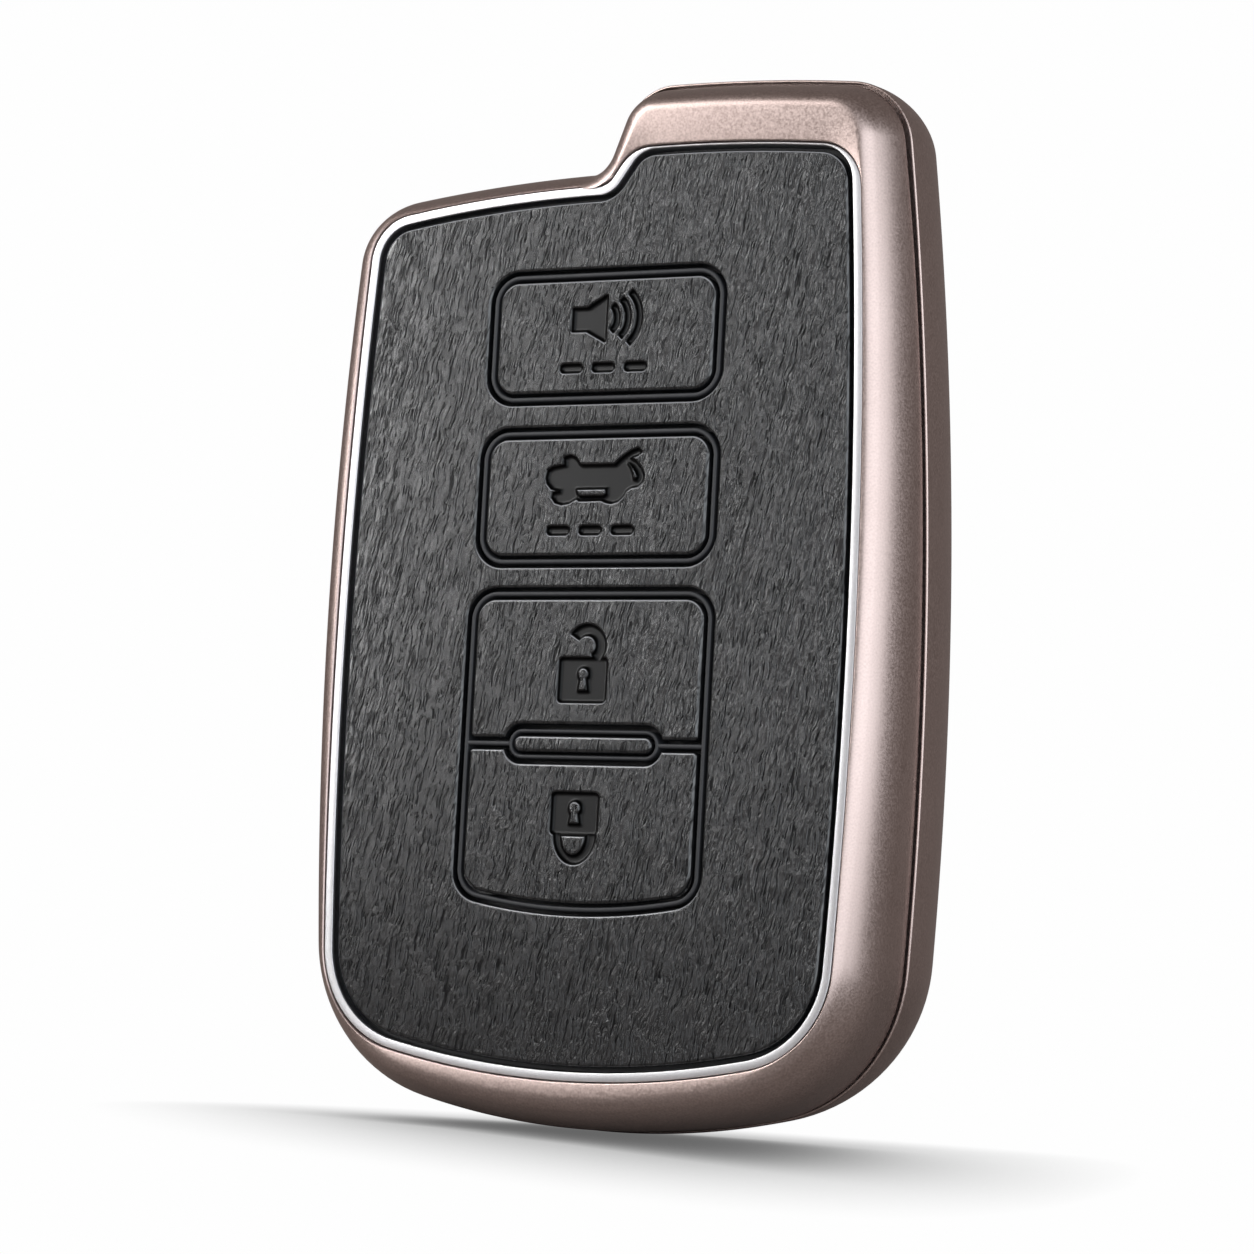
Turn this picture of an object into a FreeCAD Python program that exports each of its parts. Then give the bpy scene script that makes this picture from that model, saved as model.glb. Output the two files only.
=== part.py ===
import FreeCAD, Part
import math
import os
import sys

import Sketcher

# Key fob cover: two die-cast halves round a leather-faced keypad with four buttons.
# X runs to the right, Z up along the case and the keypad faces -Y. Lengths are in millimetres.
# Depths of the front half are measured from its front face, those of the rear half from the seam.

SIZES = {
    # Case outline at the widest section of the front half
    "case_half_width": 24.75,
    "case_belly_height": 39.0,
    "case_side_radius": 334.0,
    "case_foot_height": 0.19,
    "case_foot_radius": 61.0,
    "case_shoulder_x": 0.7,
    "case_step": 6.25,
    "case_shoulder_radius": 138.0,
    "case_riser_x": -1.943724,
    "case_riser_angle": 69.8,
    "case_head_x": 4.6,
    "case_head_height": 79.45,
    "case_head_radius": 140.0,
    "case_foot_corner": 12.6,
    "case_head_corner": 5.1,
    "case_notch_crest": 4.0,
    "case_notch_root": 1.8,
    "case_shoulder_corner": 5.9,
    # Outline of the leather panel, along the middle of the dark gap round it
    "panel_side_margin": 3.45,
    "panel_belly_height": 36.0,
    "panel_side_radius": 440.0,
    "panel_foot_margin": 4.46,
    "panel_foot_radius": 71.0,
    "panel_shoulder_x": 0.35,
    "panel_shoulder_margin": 2.7,
    "panel_shoulder_radius": 115.0,
    "panel_riser_x": 0.045338,
    "panel_riser_angle": 55.0,
    "panel_head_x": 5.5,
    "panel_head_margin": 5.6,
    "panel_head_radius": 126.0,
    "panel_foot_corner": 7.2,
    "panel_head_corner": 2.75,
    "panel_notch_crest": 2.2,
    "panel_notch_root": 2.3,
    "panel_shoulder_corner": 2.9,
    # Depth of the halves: the seam and the back lean forward together towards the head
    "case_depth": 18.05,
    "seam_depth": 6.2,
    "seam_tilt": 4.2,
    "pivot_height": 40.0,
    "seam_gap": 0.15,
    "rear_depth": 9.2,
    "rear_overhang": 0.3,
    # Rounded edges of the halves: width in the outline, depth along the wall, radius at the face
    "front_edge_width": 2.6,
    "front_edge_depth": 5.0,
    "front_edge_radius": 1.7,
    "rear_edge_width": 3.6,
    "rear_edge_depth": 8.0,
    "rear_edge_radius": 2.4,
    # Walls and clearances
    "front_wall": 1.5,
    "bezel_thickness": 2.2,
    "rear_wall": 2.2,
    "rear_flange": 1.9,
    "fit_gap": 0.1,
    "slide_gap": 0.35,
    "overrun": 0.6,
    # Bright ring round the panel
    "ring_width": 0.65,
    "ring_head_width": 0.16,
    "ring_recess": 0.2,
    "panel_gap": 0.35,
    # Leather, film and tray under it
    "leather_recess": 0.32,
    "leather_thickness": 0.8,
    "film_thickness": 0.1,
    "film_side_gap": 2.3,
    "film_foot_gap": 0.15,
    "film_shoulder_gap": 5.0,
    "film_margin": 2.0,
    "base_thickness": 0.8,
    "groove_width": 0.85,
    "land_margin": 0.3,
    # Buttons: faces of the four caps, stacked upward from the lock button
    "keypad_low_share": 0.66003228,
    "lock_height": 11.5,
    "lock_half_width": 9.72,
    "lock_bow_radius": 46.0,
    "unlock_height": 10.55,
    "tailgate_rise": 3.26,
    "tailgate_height": 9.0,
    "tailgate_half_width": 9.45,
    "alarm_rise": 3.44,
    "alarm_height": 8.66,
    "alarm_half_width": 9.28,
    "cap_corner": 1.6,
    "divider_corner": 0.35,
    # Finger bar between the unlock and lock buttons
    "bar_half_length": 5.9,
    "bar_half_height": 0.62,
    # Plungers behind the caps
    "plate_thickness": 0.45,
    "plate_margin": 0.5,
    "stem_margin": 1.2,
    "bridge_half_height": 2.6,
    "stem_gap": 0.3,
    "collar_lap": 0.6,
    "collar_gap": 0.06,
    "collar_thickness": 0.6,
    "nub_radius": 2.8,
    "nub_height": 0.6,
    # Inner ring of the front half, whose tongue locates the rear half
    "retainer_wall": 0.9,
    "tongue_length": 2.0,
    # Rear inner plate, liner and panel
    "rear_panel_inset": 0.9,
    "rear_panel_gap": 0.3,
    "rear_leather_recess": 0.12,
    "rear_base": 1.0,
    "rear_base_side_gap": 1.55,
    "rear_base_foot_gap": 0.21,
    "rear_base_shoulder_gap": 1.8,
    "liner_margin": 1.5,
    "liner_corner": 4.0,
    "liner_thickness": 0.5,
    # Gap at the notch through which the fob's ring loop comes out
    "loop_left": -17.0,
    "loop_right": -5.0,
    "loop_rear_depth": 5.2,
    "loop_reach": 7.0,
    "loop_corner": 1.2,
}

# Sizes that follow from others: the panel is set in from the case, both risers stand on their shoulders,
# and the keypad shares out the room that it leaves between the panel's foot and shoulder
EXTENTS = {
    "case_shoulder_height": "=case_head_height - case_step",
    "panel_half_width": "=case_half_width - panel_side_margin",
    "panel_foot_height": "=case_foot_height + panel_foot_margin",
    "panel_shoulder_height": "=case_shoulder_height - panel_shoulder_margin",
    "panel_head_height": "=case_head_height - panel_head_margin",
    "case_riser_distance": "=case_shoulder_height * cos(case_riser_angle)"
                           " - case_riser_x * sin(case_riser_angle)",
    "panel_riser_distance": "=panel_shoulder_height * cos(panel_riser_angle)"
                            " - panel_riser_x * sin(panel_riser_angle)",
    "keypad_height": "=lock_height + groove_width + unlock_height + tailgate_rise + tailgate_height"
                     " + alarm_rise + alarm_height",
    "keypad_room": "=panel_shoulder_height - panel_foot_height - keypad_height",
    "lock_low": "=panel_foot_height + keypad_room * keypad_low_share",
}

TOLERANCE = 1e-7
START, END, CENTRE = range(1, 4)
ROOT, UPRIGHT_AXIS = range(-1, -3, -1)
ORIGIN = (ROOT, START)

doc = FreeCAD.newDocument("KeyFobCover")
sheet = doc.addObject("Spreadsheet::Sheet", "Sizes")
for row, (alias, content) in enumerate([*SIZES.items(), *EXTENTS.items()], start=1):
    sheet.set(f"A{row}", alias)
    sheet.set(f"B{row}", str(content))
    sheet.setAlias(f"B{row}", alias)
doc.recompute()


class Dim:
    """A size known as a number and as the sheet expression that gives it."""

    def __init__(self, value, text):
        self.value = value
        self.text = text

    def __add__(self, other):
        return Dim(self.value + other.value, f"({self.text} + {other.text})")

    def __sub__(self, other):
        return Dim(self.value - other.value, f"({self.text} - {other.text})")

    def __neg__(self):
        return Dim(-self.value, f"(-{self.text})")

    def half(self):
        return Dim(self.value / 2, f"({self.text} / 2)")


def size(alias):
    """The sheet's size of that name."""
    return Dim(sheet.get(alias), f"Sizes.{alias}")


ZERO = Dim(0.0, "0")


# Sketch outlines: edges laid end to end, counter-clockwise, with an arc at every corner

class ArcEdge:
    """A bowed edge, given by its centre and radius."""

    forward = True

    def __init__(self, x, z, radius):
        self.x = x
        self.z = z
        self.radius = radius

    def curve(self, inset):
        centre = FreeCAD.Vector(self.x.value, self.z.value, 0)
        return Part.Circle(centre, FreeCAD.Vector(0, 0, 1), self.radius.value - inset)

    def piece(self, first, last):
        return arc_between(self.curve(0), first, last)

    def fix(self, sketch, index):
        drive(sketch, "Radius", self.radius, index)
        drive(sketch, "DistanceY", self.z, *ORIGIN, index, CENTRE)
        if self.x is ZERO:
            sketch.addConstraint(Sketcher.Constraint("PointOnObject", index, CENTRE, UPRIGHT_AXIS))
        else:
            drive(sketch, "DistanceX", self.x, *ORIGIN, index, CENTRE)


class SlantEdge:
    """A straight slanting edge, given by its distance from the origin and its angle."""

    forward = False

    def __init__(self, distance, angle):
        self.distance = distance
        self.angle = angle

    def curve(self, inset):
        turn = math.radians(self.angle.value)
        along = FreeCAD.Vector(math.cos(turn), math.sin(turn), 0)
        outward = FreeCAD.Vector(-along.y, along.x, 0)
        foot = outward * (self.distance.value - inset)
        return Part.Line(foot, foot + along)

    def piece(self, first, last):
        return Part.LineSegment(last, first)

    def fix(self, sketch, index):
        drive(sketch, "Distance", self.distance, *ORIGIN, index)
        constraint = Sketcher.Constraint("Angle", index, math.radians(self.angle.value))
        bind_constraint(sketch, sketch.addConstraint(constraint), self.angle)


class SquareEdge:
    """A level or upright straight edge, with the side that faces out."""

    forward = True

    def __init__(self, level, place, outward):
        self.level = level
        self.place = place
        self.outward = outward

    def curve(self, inset):
        along = self.place.value - self.outward * inset
        if self.level:
            return Part.Line(FreeCAD.Vector(0, along, 0), FreeCAD.Vector(1, along, 0))
        return Part.Line(FreeCAD.Vector(along, 0, 0), FreeCAD.Vector(along, 1, 0))

    def piece(self, first, last):
        return Part.LineSegment(first, last)

    def fix(self, sketch, index):
        sketch.addConstraint(Sketcher.Constraint("Horizontal" if self.level else "Vertical", index))
        drive(sketch, "DistanceY" if self.level else "DistanceX", self.place, *ORIGIN, index, START)


def arc_between(circle, first, last):
    """Counter-clockwise arc of a circle from one point to another."""
    begin = circle.parameter(first)
    finish = circle.parameter(last)
    if finish < begin:
        finish += math.tau
    return Part.ArcOfCircle(circle, begin, finish)


def bind_constraint(sketch, index, dim):
    sketch.setExpression(f"Constraints[{index}]", dim.text)


def drive(sketch, kind, dim, *places):
    """A constraint whose value comes from the sheet."""
    index = sketch.addConstraint(Sketcher.Constraint(kind, *places, dim.value))
    bind_constraint(sketch, index, dim)


def crossing(first, second, inset, near):
    """Where two edges meet once both are moved inward."""
    points = first.curve(inset).intersectCC(second.curve(inset), TOLERANCE)
    places = [FreeCAD.Vector(point.X, point.Y, 0) for point in points]
    return min(places, key=near.distanceToPoint)


def closed_outline(sketch, edges, corners):
    """Adds one closed loop: each edge, then its corner arc (a radius below zero is an inner corner)."""
    count = len(edges)
    arcs = []
    for edge, after, (radius, near) in zip(edges, edges[1:] + edges[:1], corners):
        centre = crossing(edge, after, radius.value, near)
        feet = []
        for side in (edge, after):
            line = side.curve(0)
            feet.append(line.value(line.parameter(centre)))
        arcs.append((centre, feet[0], feet[1]))
    base = sketch.GeometryCount
    chain = []
    for number, edge in enumerate(edges):
        centre, leave, arrive = arcs[number]
        sketch.addGeometry(edge.piece(arcs[number - 1][2], leave), False)
        chain.append(edge.forward)
        radius = corners[number][0].value
        circle = Part.Circle(centre, FreeCAD.Vector(0, 0, 1), abs(radius))
        ends = (leave, arrive) if radius > 0 else (arrive, leave)
        sketch.addGeometry(arc_between(circle, *ends), False)
        chain.append(radius > 0)
    for number, forward in enumerate(chain):
        after = (number + 1) % len(chain)
        leaving = END if forward else START
        arriving = START if chain[after] else END
        sketch.addConstraint(
            Sketcher.Constraint("Tangent", base + number, leaving, base + after, arriving)
        )
    for number in range(count):
        edges[number].fix(sketch, base + 2 * number)
        radius = corners[number][0]
        drive(sketch, "Radius", radius if radius.value > 0 else -radius, base + 2 * number + 1)


def near(x, z):
    return FreeCAD.Vector(x.value, z.value, 0)


def case_loop(sketch, prefix, inset, head_inset=None):
    """The notched outline of the case or of its panel, moved inward evenly."""

    def own(word):
        return size(f"{prefix}_{word}")

    width = own("half_width")
    foot = own("foot_height")
    head = own("head_height")
    shoulder = own("shoulder_height")
    side = width - own("side_radius")
    side_radius = own("side_radius") - inset
    belly = own("belly_height")
    edges = [
        ArcEdge(ZERO, foot + own("foot_radius"), own("foot_radius") - inset),
        ArcEdge(side, belly, side_radius),
        ArcEdge(own("head_x"), head - own("head_radius"), own("head_radius") - (head_inset or inset)),
        SlantEdge(own("riser_distance") - inset, own("riser_angle")),
        ArcEdge(own("shoulder_x"), shoulder - own("shoulder_radius"), own("shoulder_radius") - inset),
        ArcEdge(-side, belly, side_radius),
    ]
    corners = [
        (own("foot_corner") - inset, near(width, foot)),
        (own("head_corner") - inset, near(width, head)),
        (own("notch_crest") - inset, near(ZERO, head)),
        (-(own("notch_root") + inset), near(ZERO, shoulder)),
        (own("shoulder_corner") - inset, near(-width, shoulder)),
        (own("foot_corner") - inset, near(-width, foot)),
    ]
    closed_outline(sketch, edges, corners)


class CapFace:
    """Face of a button: a rounded rectangle about X = 0, its foot bowed where a bow radius is given."""

    def __init__(self, half_width, low, high, low_corner, high_corner, bow=None):
        self.half_width = half_width
        self.low = low
        self.high = high
        self.low_corner = low_corner
        self.high_corner = high_corner
        self.bow = bow

    def loop(self, sketch, outset):
        """Adds the face's outline, moved outward evenly."""
        width = self.half_width + outset
        low = self.low - outset
        high = self.high + outset
        foot = SquareEdge(True, low, -1)
        if self.bow:
            foot = ArcEdge(ZERO, self.low + self.bow, self.bow + outset)
        edges = [foot, SquareEdge(False, width, 1), SquareEdge(True, high, 1), SquareEdge(False, -width, -1)]
        corners = [
            (self.low_corner + outset, near(width, low)),
            (self.high_corner + outset, near(width, high)),
            (self.high_corner + outset, near(-width, high)),
            (self.low_corner + outset, near(-width, low)),
        ]
        closed_outline(sketch, edges, corners)


def slot_loop(sketch, half_length, half_height, height):
    """Adds a level slot with round ends about X = 0."""
    reach = half_length - half_height
    base = sketch.GeometryCount
    for x, begin in ((reach, -math.pi / 2), (-reach, math.pi / 2)):
        centre = FreeCAD.Vector(x.value, height.value, 0)
        circle = Part.Circle(centre, FreeCAD.Vector(0, 0, 1), half_height.value)
        sketch.addGeometry(Part.ArcOfCircle(circle, begin, begin + math.pi), False)
        level = height.value + math.copysign(half_height.value, begin) * -1
        sketch.addGeometry(
            Part.LineSegment(
                FreeCAD.Vector(x.value, level, 0), FreeCAD.Vector(-x.value, level, 0)
            ),
            False,
        )
    for number in range(4):
        sketch.addConstraint(
            Sketcher.Constraint("Tangent", base + number, END, base + (number + 1) % 4, START)
        )
    for arc, x in ((base, reach), (base + 2, -reach)):
        drive(sketch, "DistanceX", x, *ORIGIN, arc, CENTRE)
        drive(sketch, "DistanceY", height, *ORIGIN, arc, CENTRE)
    drive(sketch, "Radius", half_height, base)
    sketch.addConstraint(Sketcher.Constraint("Equal", base, base + 2))


class Plate:
    """A rectangle with square corners."""

    def __init__(self, left, right, low, high):
        self.left = left
        self.right = right
        self.low = low
        self.high = high

    def loop(self, sketch, outset):
        """Adds the rectangle, moved outward evenly."""
        left = self.left - outset
        right = self.right + outset
        low = self.low - outset
        high = self.high + outset
        corners = [near(left, low), near(right, low), near(right, high), near(left, high)]
        base = sketch.GeometryCount
        for first, last in zip(corners, corners[1:] + corners[:1]):
            sketch.addGeometry(Part.LineSegment(first, last), False)
        foot, side, head, other = range(base, base + 4)
        for edge, after in ((foot, side), (side, head), (head, other), (other, foot)):
            sketch.addConstraint(Sketcher.Constraint("Coincident", edge, END, after, START))
        for level, upright in ((foot, side), (head, other)):
            sketch.addConstraint(Sketcher.Constraint("Horizontal", level))
            sketch.addConstraint(Sketcher.Constraint("Vertical", upright))
        drive(sketch, "DistanceX", left, *ORIGIN, foot, START)
        drive(sketch, "DistanceY", low, *ORIGIN, foot, START)
        drive(sketch, "DistanceX", right, *ORIGIN, head, START)
        drive(sketch, "DistanceY", high, *ORIGIN, head, START)


# Bodies and features

def origin_plane(body, role):
    return next(item for item in body.Origin.OriginFeatures if item.Role == role)


def front_body(label):
    """A piece of the front half, its depth counted from the front face."""
    body = doc.addObject("PartDesign::Body", label)
    body.Label = label
    body.setExpression("Placement.Base.y", "-Sizes.case_depth / 2")
    return body


def rear_body(label):
    """A piece of the rear half, its depth counted from the seam and square to it."""
    body = doc.addObject("PartDesign::Body", label)
    body.Label = label
    body.Placement.Rotation = FreeCAD.Rotation(FreeCAD.Vector(1, 0, 0), SIZES["seam_tilt"])
    body.setExpression("Placement.Rotation.Angle", "Sizes.seam_tilt")
    body.setExpression(
        "Placement.Base.y",
        "-Sizes.case_depth / 2 + Sizes.seam_depth + Sizes.pivot_height * sin(Sizes.seam_tilt)",
    )
    body.setExpression("Placement.Base.z", "Sizes.pivot_height * (1 - cos(Sizes.seam_tilt))")
    return body


def sketch_at(body, depth, role="XZ_Plane"):
    """A sketch parallel to the front face, or to the seam, at a depth."""
    sketch = body.newObject("Sketcher::SketchObject", "Outline")
    sketch.AttachmentSupport = [(origin_plane(body, role), "")]
    sketch.MapMode = "FlatFace"
    sketch.setExpression("AttachmentOffset.Base.z", f"-({depth.text})")
    return sketch


def pad(body, sketch, length, forward=False):
    """Adds material backward from the sketch, or forward to the seam."""
    feature = body.newObject("PartDesign::Pad", "Pad")
    feature.Profile = sketch
    feature.Reversed = not forward
    feature.setExpression("Length", length.text)
    doc.recompute()
    return feature


def pad_to(body, sketch, plane):
    feature = body.newObject("PartDesign::Pad", "Pad")
    feature.Profile = sketch
    feature.Type = "UpToFace"
    feature.UpToFace = (plane, [""])
    doc.recompute()
    return feature


def pocket(body, sketch, length=None):
    """Cuts backward from the sketch, right through where no length is given."""
    before = body.Shape.Volume
    feature = body.newObject("PartDesign::Pocket", "Pocket")
    feature.Profile = sketch
    if length is None:
        feature.Type = "ThroughAll"
    else:
        feature.setExpression("Length", length.text)
    doc.recompute()
    if feature.Shape.isNull() or feature.Shape.Volume >= before:
        sys.exit(f"a pocket of {body.Label} cuts nothing")
    return feature


def seam_plane(body, depth):
    """Leaning plane parallel to the seam, at a depth where it crosses the pivot height."""
    plane = body.newObject("PartDesign::Plane", "LeaningPlane")
    plane.AttachmentSupport = [(origin_plane(body, "XZ_Plane"), "")]
    plane.MapMode = "FlatFace"
    turn = FreeCAD.Rotation(FreeCAD.Vector(1, 0, 0), SIZES["seam_tilt"])
    plane.AttachmentOffset = FreeCAD.Placement(FreeCAD.Vector(), turn)
    plane.setExpression("AttachmentOffset.Base.y", "Sizes.pivot_height")
    plane.setExpression("AttachmentOffset.Base.z", f"-({depth.text})")
    plane.setExpression("AttachmentOffset.Rotation.Angle", "Sizes.seam_tilt")
    doc.recompute()
    return plane


def round_edge(body, path, prefix, face_depth, foot, inward):
    """Rounds and tapers the rim: an arc at the face, then a slant to the wall, swept along the outline."""
    width = size(f"{prefix}_edge_width")
    depth = size(f"{prefix}_edge_depth")
    radius = size(f"{prefix}_edge_radius")
    over = size("overrun")

    def point(deep, inset):
        return FreeCAD.Vector(face_depth.value + inward * deep, foot.value + inset, 0)

    face = point(0, width.value)
    wall = point(depth.value, 0)
    centre = point(radius.value, width.value)
    reach = wall - centre
    swing = math.acos(radius.value / reach.Length)
    turn = math.atan2(reach.y, reach.x) - inward * swing
    join = centre + FreeCAD.Vector(math.cos(turn), math.sin(turn), 0) * radius.value
    outer = point(depth.value, -over.value)
    corner = point(-over.value, -over.value)
    inner = point(-over.value, width.value)
    sketch = sketch_at(body, ZERO, "YZ_Plane")
    ends = (face, join) if inward > 0 else (join, face)
    circle = Part.Circle(centre, FreeCAD.Vector(0, 0, 1), radius.value)
    sketch.addGeometry(arc_between(circle, *ends), False)
    for first, last in ((join, wall), (wall, outer), (outer, corner), (corner, inner), (inner, face)):
        sketch.addGeometry(Part.LineSegment(first, last), False)
    leave, arrive = (END, START) if inward > 0 else (START, END)
    slant, drop, floor, rise, back = range(1, 6)
    constraints = [
        ("Tangent", 0, leave, slant, START),
        ("Coincident", slant, END, drop, START),
        ("Coincident", drop, END, floor, START),
        ("Coincident", floor, END, rise, START),
        ("Coincident", rise, END, back, START),
        ("Coincident", back, END, 0, arrive),
        ("Vertical", drop),
        ("Horizontal", floor),
        ("Vertical", rise),
        ("Horizontal", back),
        ("Horizontal", 0, arrive, 0, CENTRE),
    ]
    for constraint in constraints:
        sketch.addConstraint(Sketcher.Constraint(*constraint))
    end_depth = face_depth + depth if inward > 0 else face_depth - depth
    over_depth = face_depth - over if inward > 0 else face_depth + over
    drive(sketch, "Radius", radius, 0)
    drive(sketch, "DistanceX", face_depth, *ORIGIN, 0, arrive)
    drive(sketch, "DistanceY", foot + width, *ORIGIN, 0, arrive)
    drive(sketch, "DistanceX", end_depth, *ORIGIN, drop, START)
    drive(sketch, "DistanceY", foot, *ORIGIN, drop, START)
    drive(sketch, "DistanceY", foot - over, *ORIGIN, floor, START)
    drive(sketch, "DistanceX", over_depth, *ORIGIN, floor, END)
    doc.recompute()
    before = body.Shape.Volume
    sweep = body.newObject("PartDesign::SubtractivePipe", "RoundedEdge")
    sweep.Profile = sketch
    sweep.Spine = (path, [])
    sweep.Mode = "Standard"
    doc.recompute()
    if sweep.Shape.isNull() or sweep.Shape.Volume >= before:
        sys.exit(f"the rounded edge of {body.Label} cuts nothing")


def case_sketch(body, depth, inset, inner=None):
    """The case outline moved inward, with a second loop further in for a ring."""
    sketch = sketch_at(body, depth)
    case_loop(sketch, "case", inset)
    if inner is not None:
        case_loop(sketch, "case", inner)
    doc.recompute()
    return sketch


def panel_sketch(body, depth, inset, head_inset=None):
    sketch = sketch_at(body, depth)
    case_loop(sketch, "panel", inset, head_inset)
    doc.recompute()
    return sketch


def loop_gap(body, depth, length=None):
    """Cuts the gap at the notch through which the fob's ring loop comes out."""
    sketch = sketch_at(body, depth)
    shoulder = size("case_shoulder_height")
    corner = size("loop_corner")
    left = size("loop_left")
    right = size("loop_right")
    low = shoulder - size("loop_reach")
    high = shoulder + size("overrun")
    edges = [
        SquareEdge(True, low, -1),
        SquareEdge(False, right, 1),
        SquareEdge(True, high, 1),
        SquareEdge(False, left, -1),
    ]
    places = [near(right, low), near(right, high), near(left, high), near(left, low)]
    closed_outline(sketch, edges, [(corner, place) for place in places])
    doc.recompute()
    pocket(body, sketch, length)


# Depths shared by the pieces of the front half

gap_half = size("panel_gap").half()
leather_back = size("leather_recess") + size("leather_thickness")
land_depth = leather_back + size("film_thickness")
film_width = size("panel_half_width") - size("film_side_gap")
film_low = size("panel_foot_height") + size("panel_foot_corner") + size("film_foot_gap")
base_depth = size("bezel_thickness")
base_back = base_depth + size("base_thickness")
groove = size("groove_width")

# Faces of the buttons; the unlock and lock buttons share one cut-out, divided at the finger bar

cap_corner = size("cap_corner")
divider_corner = size("divider_corner")
lock_width = size("lock_half_width")
lock_bow = size("lock_bow_radius")
lock_high = size("lock_low") + size("lock_height")
divider = lock_high + groove.half()
unlock_low = lock_high + groove
unlock_high = unlock_low + size("unlock_height")
tailgate_low = unlock_high + size("tailgate_rise")
tailgate_high = tailgate_low + size("tailgate_height")
alarm_low = tailgate_high + size("alarm_rise")
alarm_high = alarm_low + size("alarm_height")
CAPS = {
    "alarm": CapFace(size("alarm_half_width"), alarm_low, alarm_high, cap_corner, cap_corner),
    "tailgate": CapFace(size("tailgate_half_width"), tailgate_low, tailgate_high, cap_corner, cap_corner),
    "unlock": CapFace(lock_width, unlock_low, unlock_high, divider_corner, cap_corner),
    "lock": CapFace(lock_width, size("lock_low"), lock_high, cap_corner, divider_corner, lock_bow),
}
LOCK_BLOCK = CapFace(lock_width, size("lock_low"), unlock_high, cap_corner, cap_corner, lock_bow)
CUTOUTS = [CAPS["alarm"], CAPS["tailgate"], LOCK_BLOCK]


def block_plate(face):
    """The plain rectangle round a button face."""
    return Plate(-face.half_width, face.half_width, face.low, face.high)


def plunger_plate(name, margin, bridge):
    """A plunger's section: the cap drawn in, and kept clear of the bridge behind the finger bar."""
    cap = CAPS[name]
    width = cap.half_width - margin
    low = divider + bridge if name == "unlock" else cap.low + margin
    high = divider - bridge if name == "lock" else cap.high - margin
    return Plate(-width, width, low, high)


def stem_plate(name):
    return plunger_plate(name, size("stem_margin"), size("bridge_half_height"))


def face_pad(body, face, depth, length, outset=ZERO):
    sketch = sketch_at(body, depth)
    face.loop(sketch, outset)
    doc.recompute()
    return pad(body, sketch, length)


def face_pocket(body, face, depth, outset, length=None):
    sketch = sketch_at(body, depth)
    face.loop(sketch, outset)
    doc.recompute()
    pocket(body, sketch, length)


def bar_sketch(body, depth, outset):
    """The finger bar's outline, moved outward."""
    sketch = sketch_at(body, depth)
    slot_loop(sketch, size("bar_half_length") + outset, size("bar_half_height") + outset, divider)
    doc.recompute()
    return sketch


# Front half

def front_frame():
    body = front_body("front_frame")
    rim = case_sketch(body, ZERO, ZERO)
    pad_to(body, rim, seam_plane(body, size("seam_depth") - size("seam_gap")))
    round_edge(body, rim, "front", ZERO, size("case_foot_height"), 1)
    pocket(body, case_sketch(body, base_depth, size("front_wall")))
    outset = gap_half + size("fit_gap")
    ring_edge = -(outset + size("ring_width"))
    head_edge = -(outset + size("ring_head_width"))
    pocket(body, panel_sketch(body, ZERO, ring_edge, head_edge))


def trim_ring():
    body = front_body("trim_ring")
    depth = size("ring_recess")
    ring_edge = -(gap_half + size("ring_width"))
    head_edge = -(gap_half + size("ring_head_width"))
    pad(body, panel_sketch(body, depth, ring_edge, head_edge), base_depth - depth)
    pocket(body, panel_sketch(body, depth, -gap_half))


def keypad_tray():
    """Black base behind the bezel, with a land that backs the leather and windows for the plungers."""
    body = front_body("keypad_tray")
    inset = size("front_wall") + size("fit_gap")
    pad(body, case_sketch(body, base_depth, inset), size("base_thickness"))
    land = base_depth - land_depth
    pad(body, panel_sketch(body, land_depth, size("fit_gap") - gap_half), land)
    for face in CUTOUTS:
        face_pocket(body, block_plate(face), land_depth, groove + size("land_margin"), land)
    pad(body, bar_sketch(body, land_depth, ZERO), land)
    for name in CAPS:
        face_pocket(body, stem_plate(name), base_depth, size("stem_gap"))


def front_adhesive():
    """Film patch between the leather and the land, with room round the buttons."""
    body = front_body("front_adhesive")
    film = Plate(-film_width, film_width, film_low, alarm_high + groove + size("film_margin"))
    face_pad(body, film, leather_back, size("film_thickness"))
    for face in CUTOUTS:
        face_pocket(body, block_plate(face), leather_back, groove + size("land_margin"))


def front_leather():
    body = front_body("front_leather")
    depth = size("leather_recess")
    pad(body, panel_sketch(body, depth, gap_half), size("leather_thickness"))
    for face in CUTOUTS:
        face_pocket(body, face, depth, groove)


def finger_bar():
    body = front_body("finger_bar")
    depth = size("leather_recess")
    pad(body, bar_sketch(body, depth, ZERO), land_depth - depth)


def button_cap(name):
    body = front_body(f"{name}_cap")
    depth = size("leather_recess")
    face_pad(body, CAPS[name], depth, size("leather_thickness"))
    if name in ("unlock", "lock"):
        pocket(body, bar_sketch(body, depth, groove))


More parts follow.
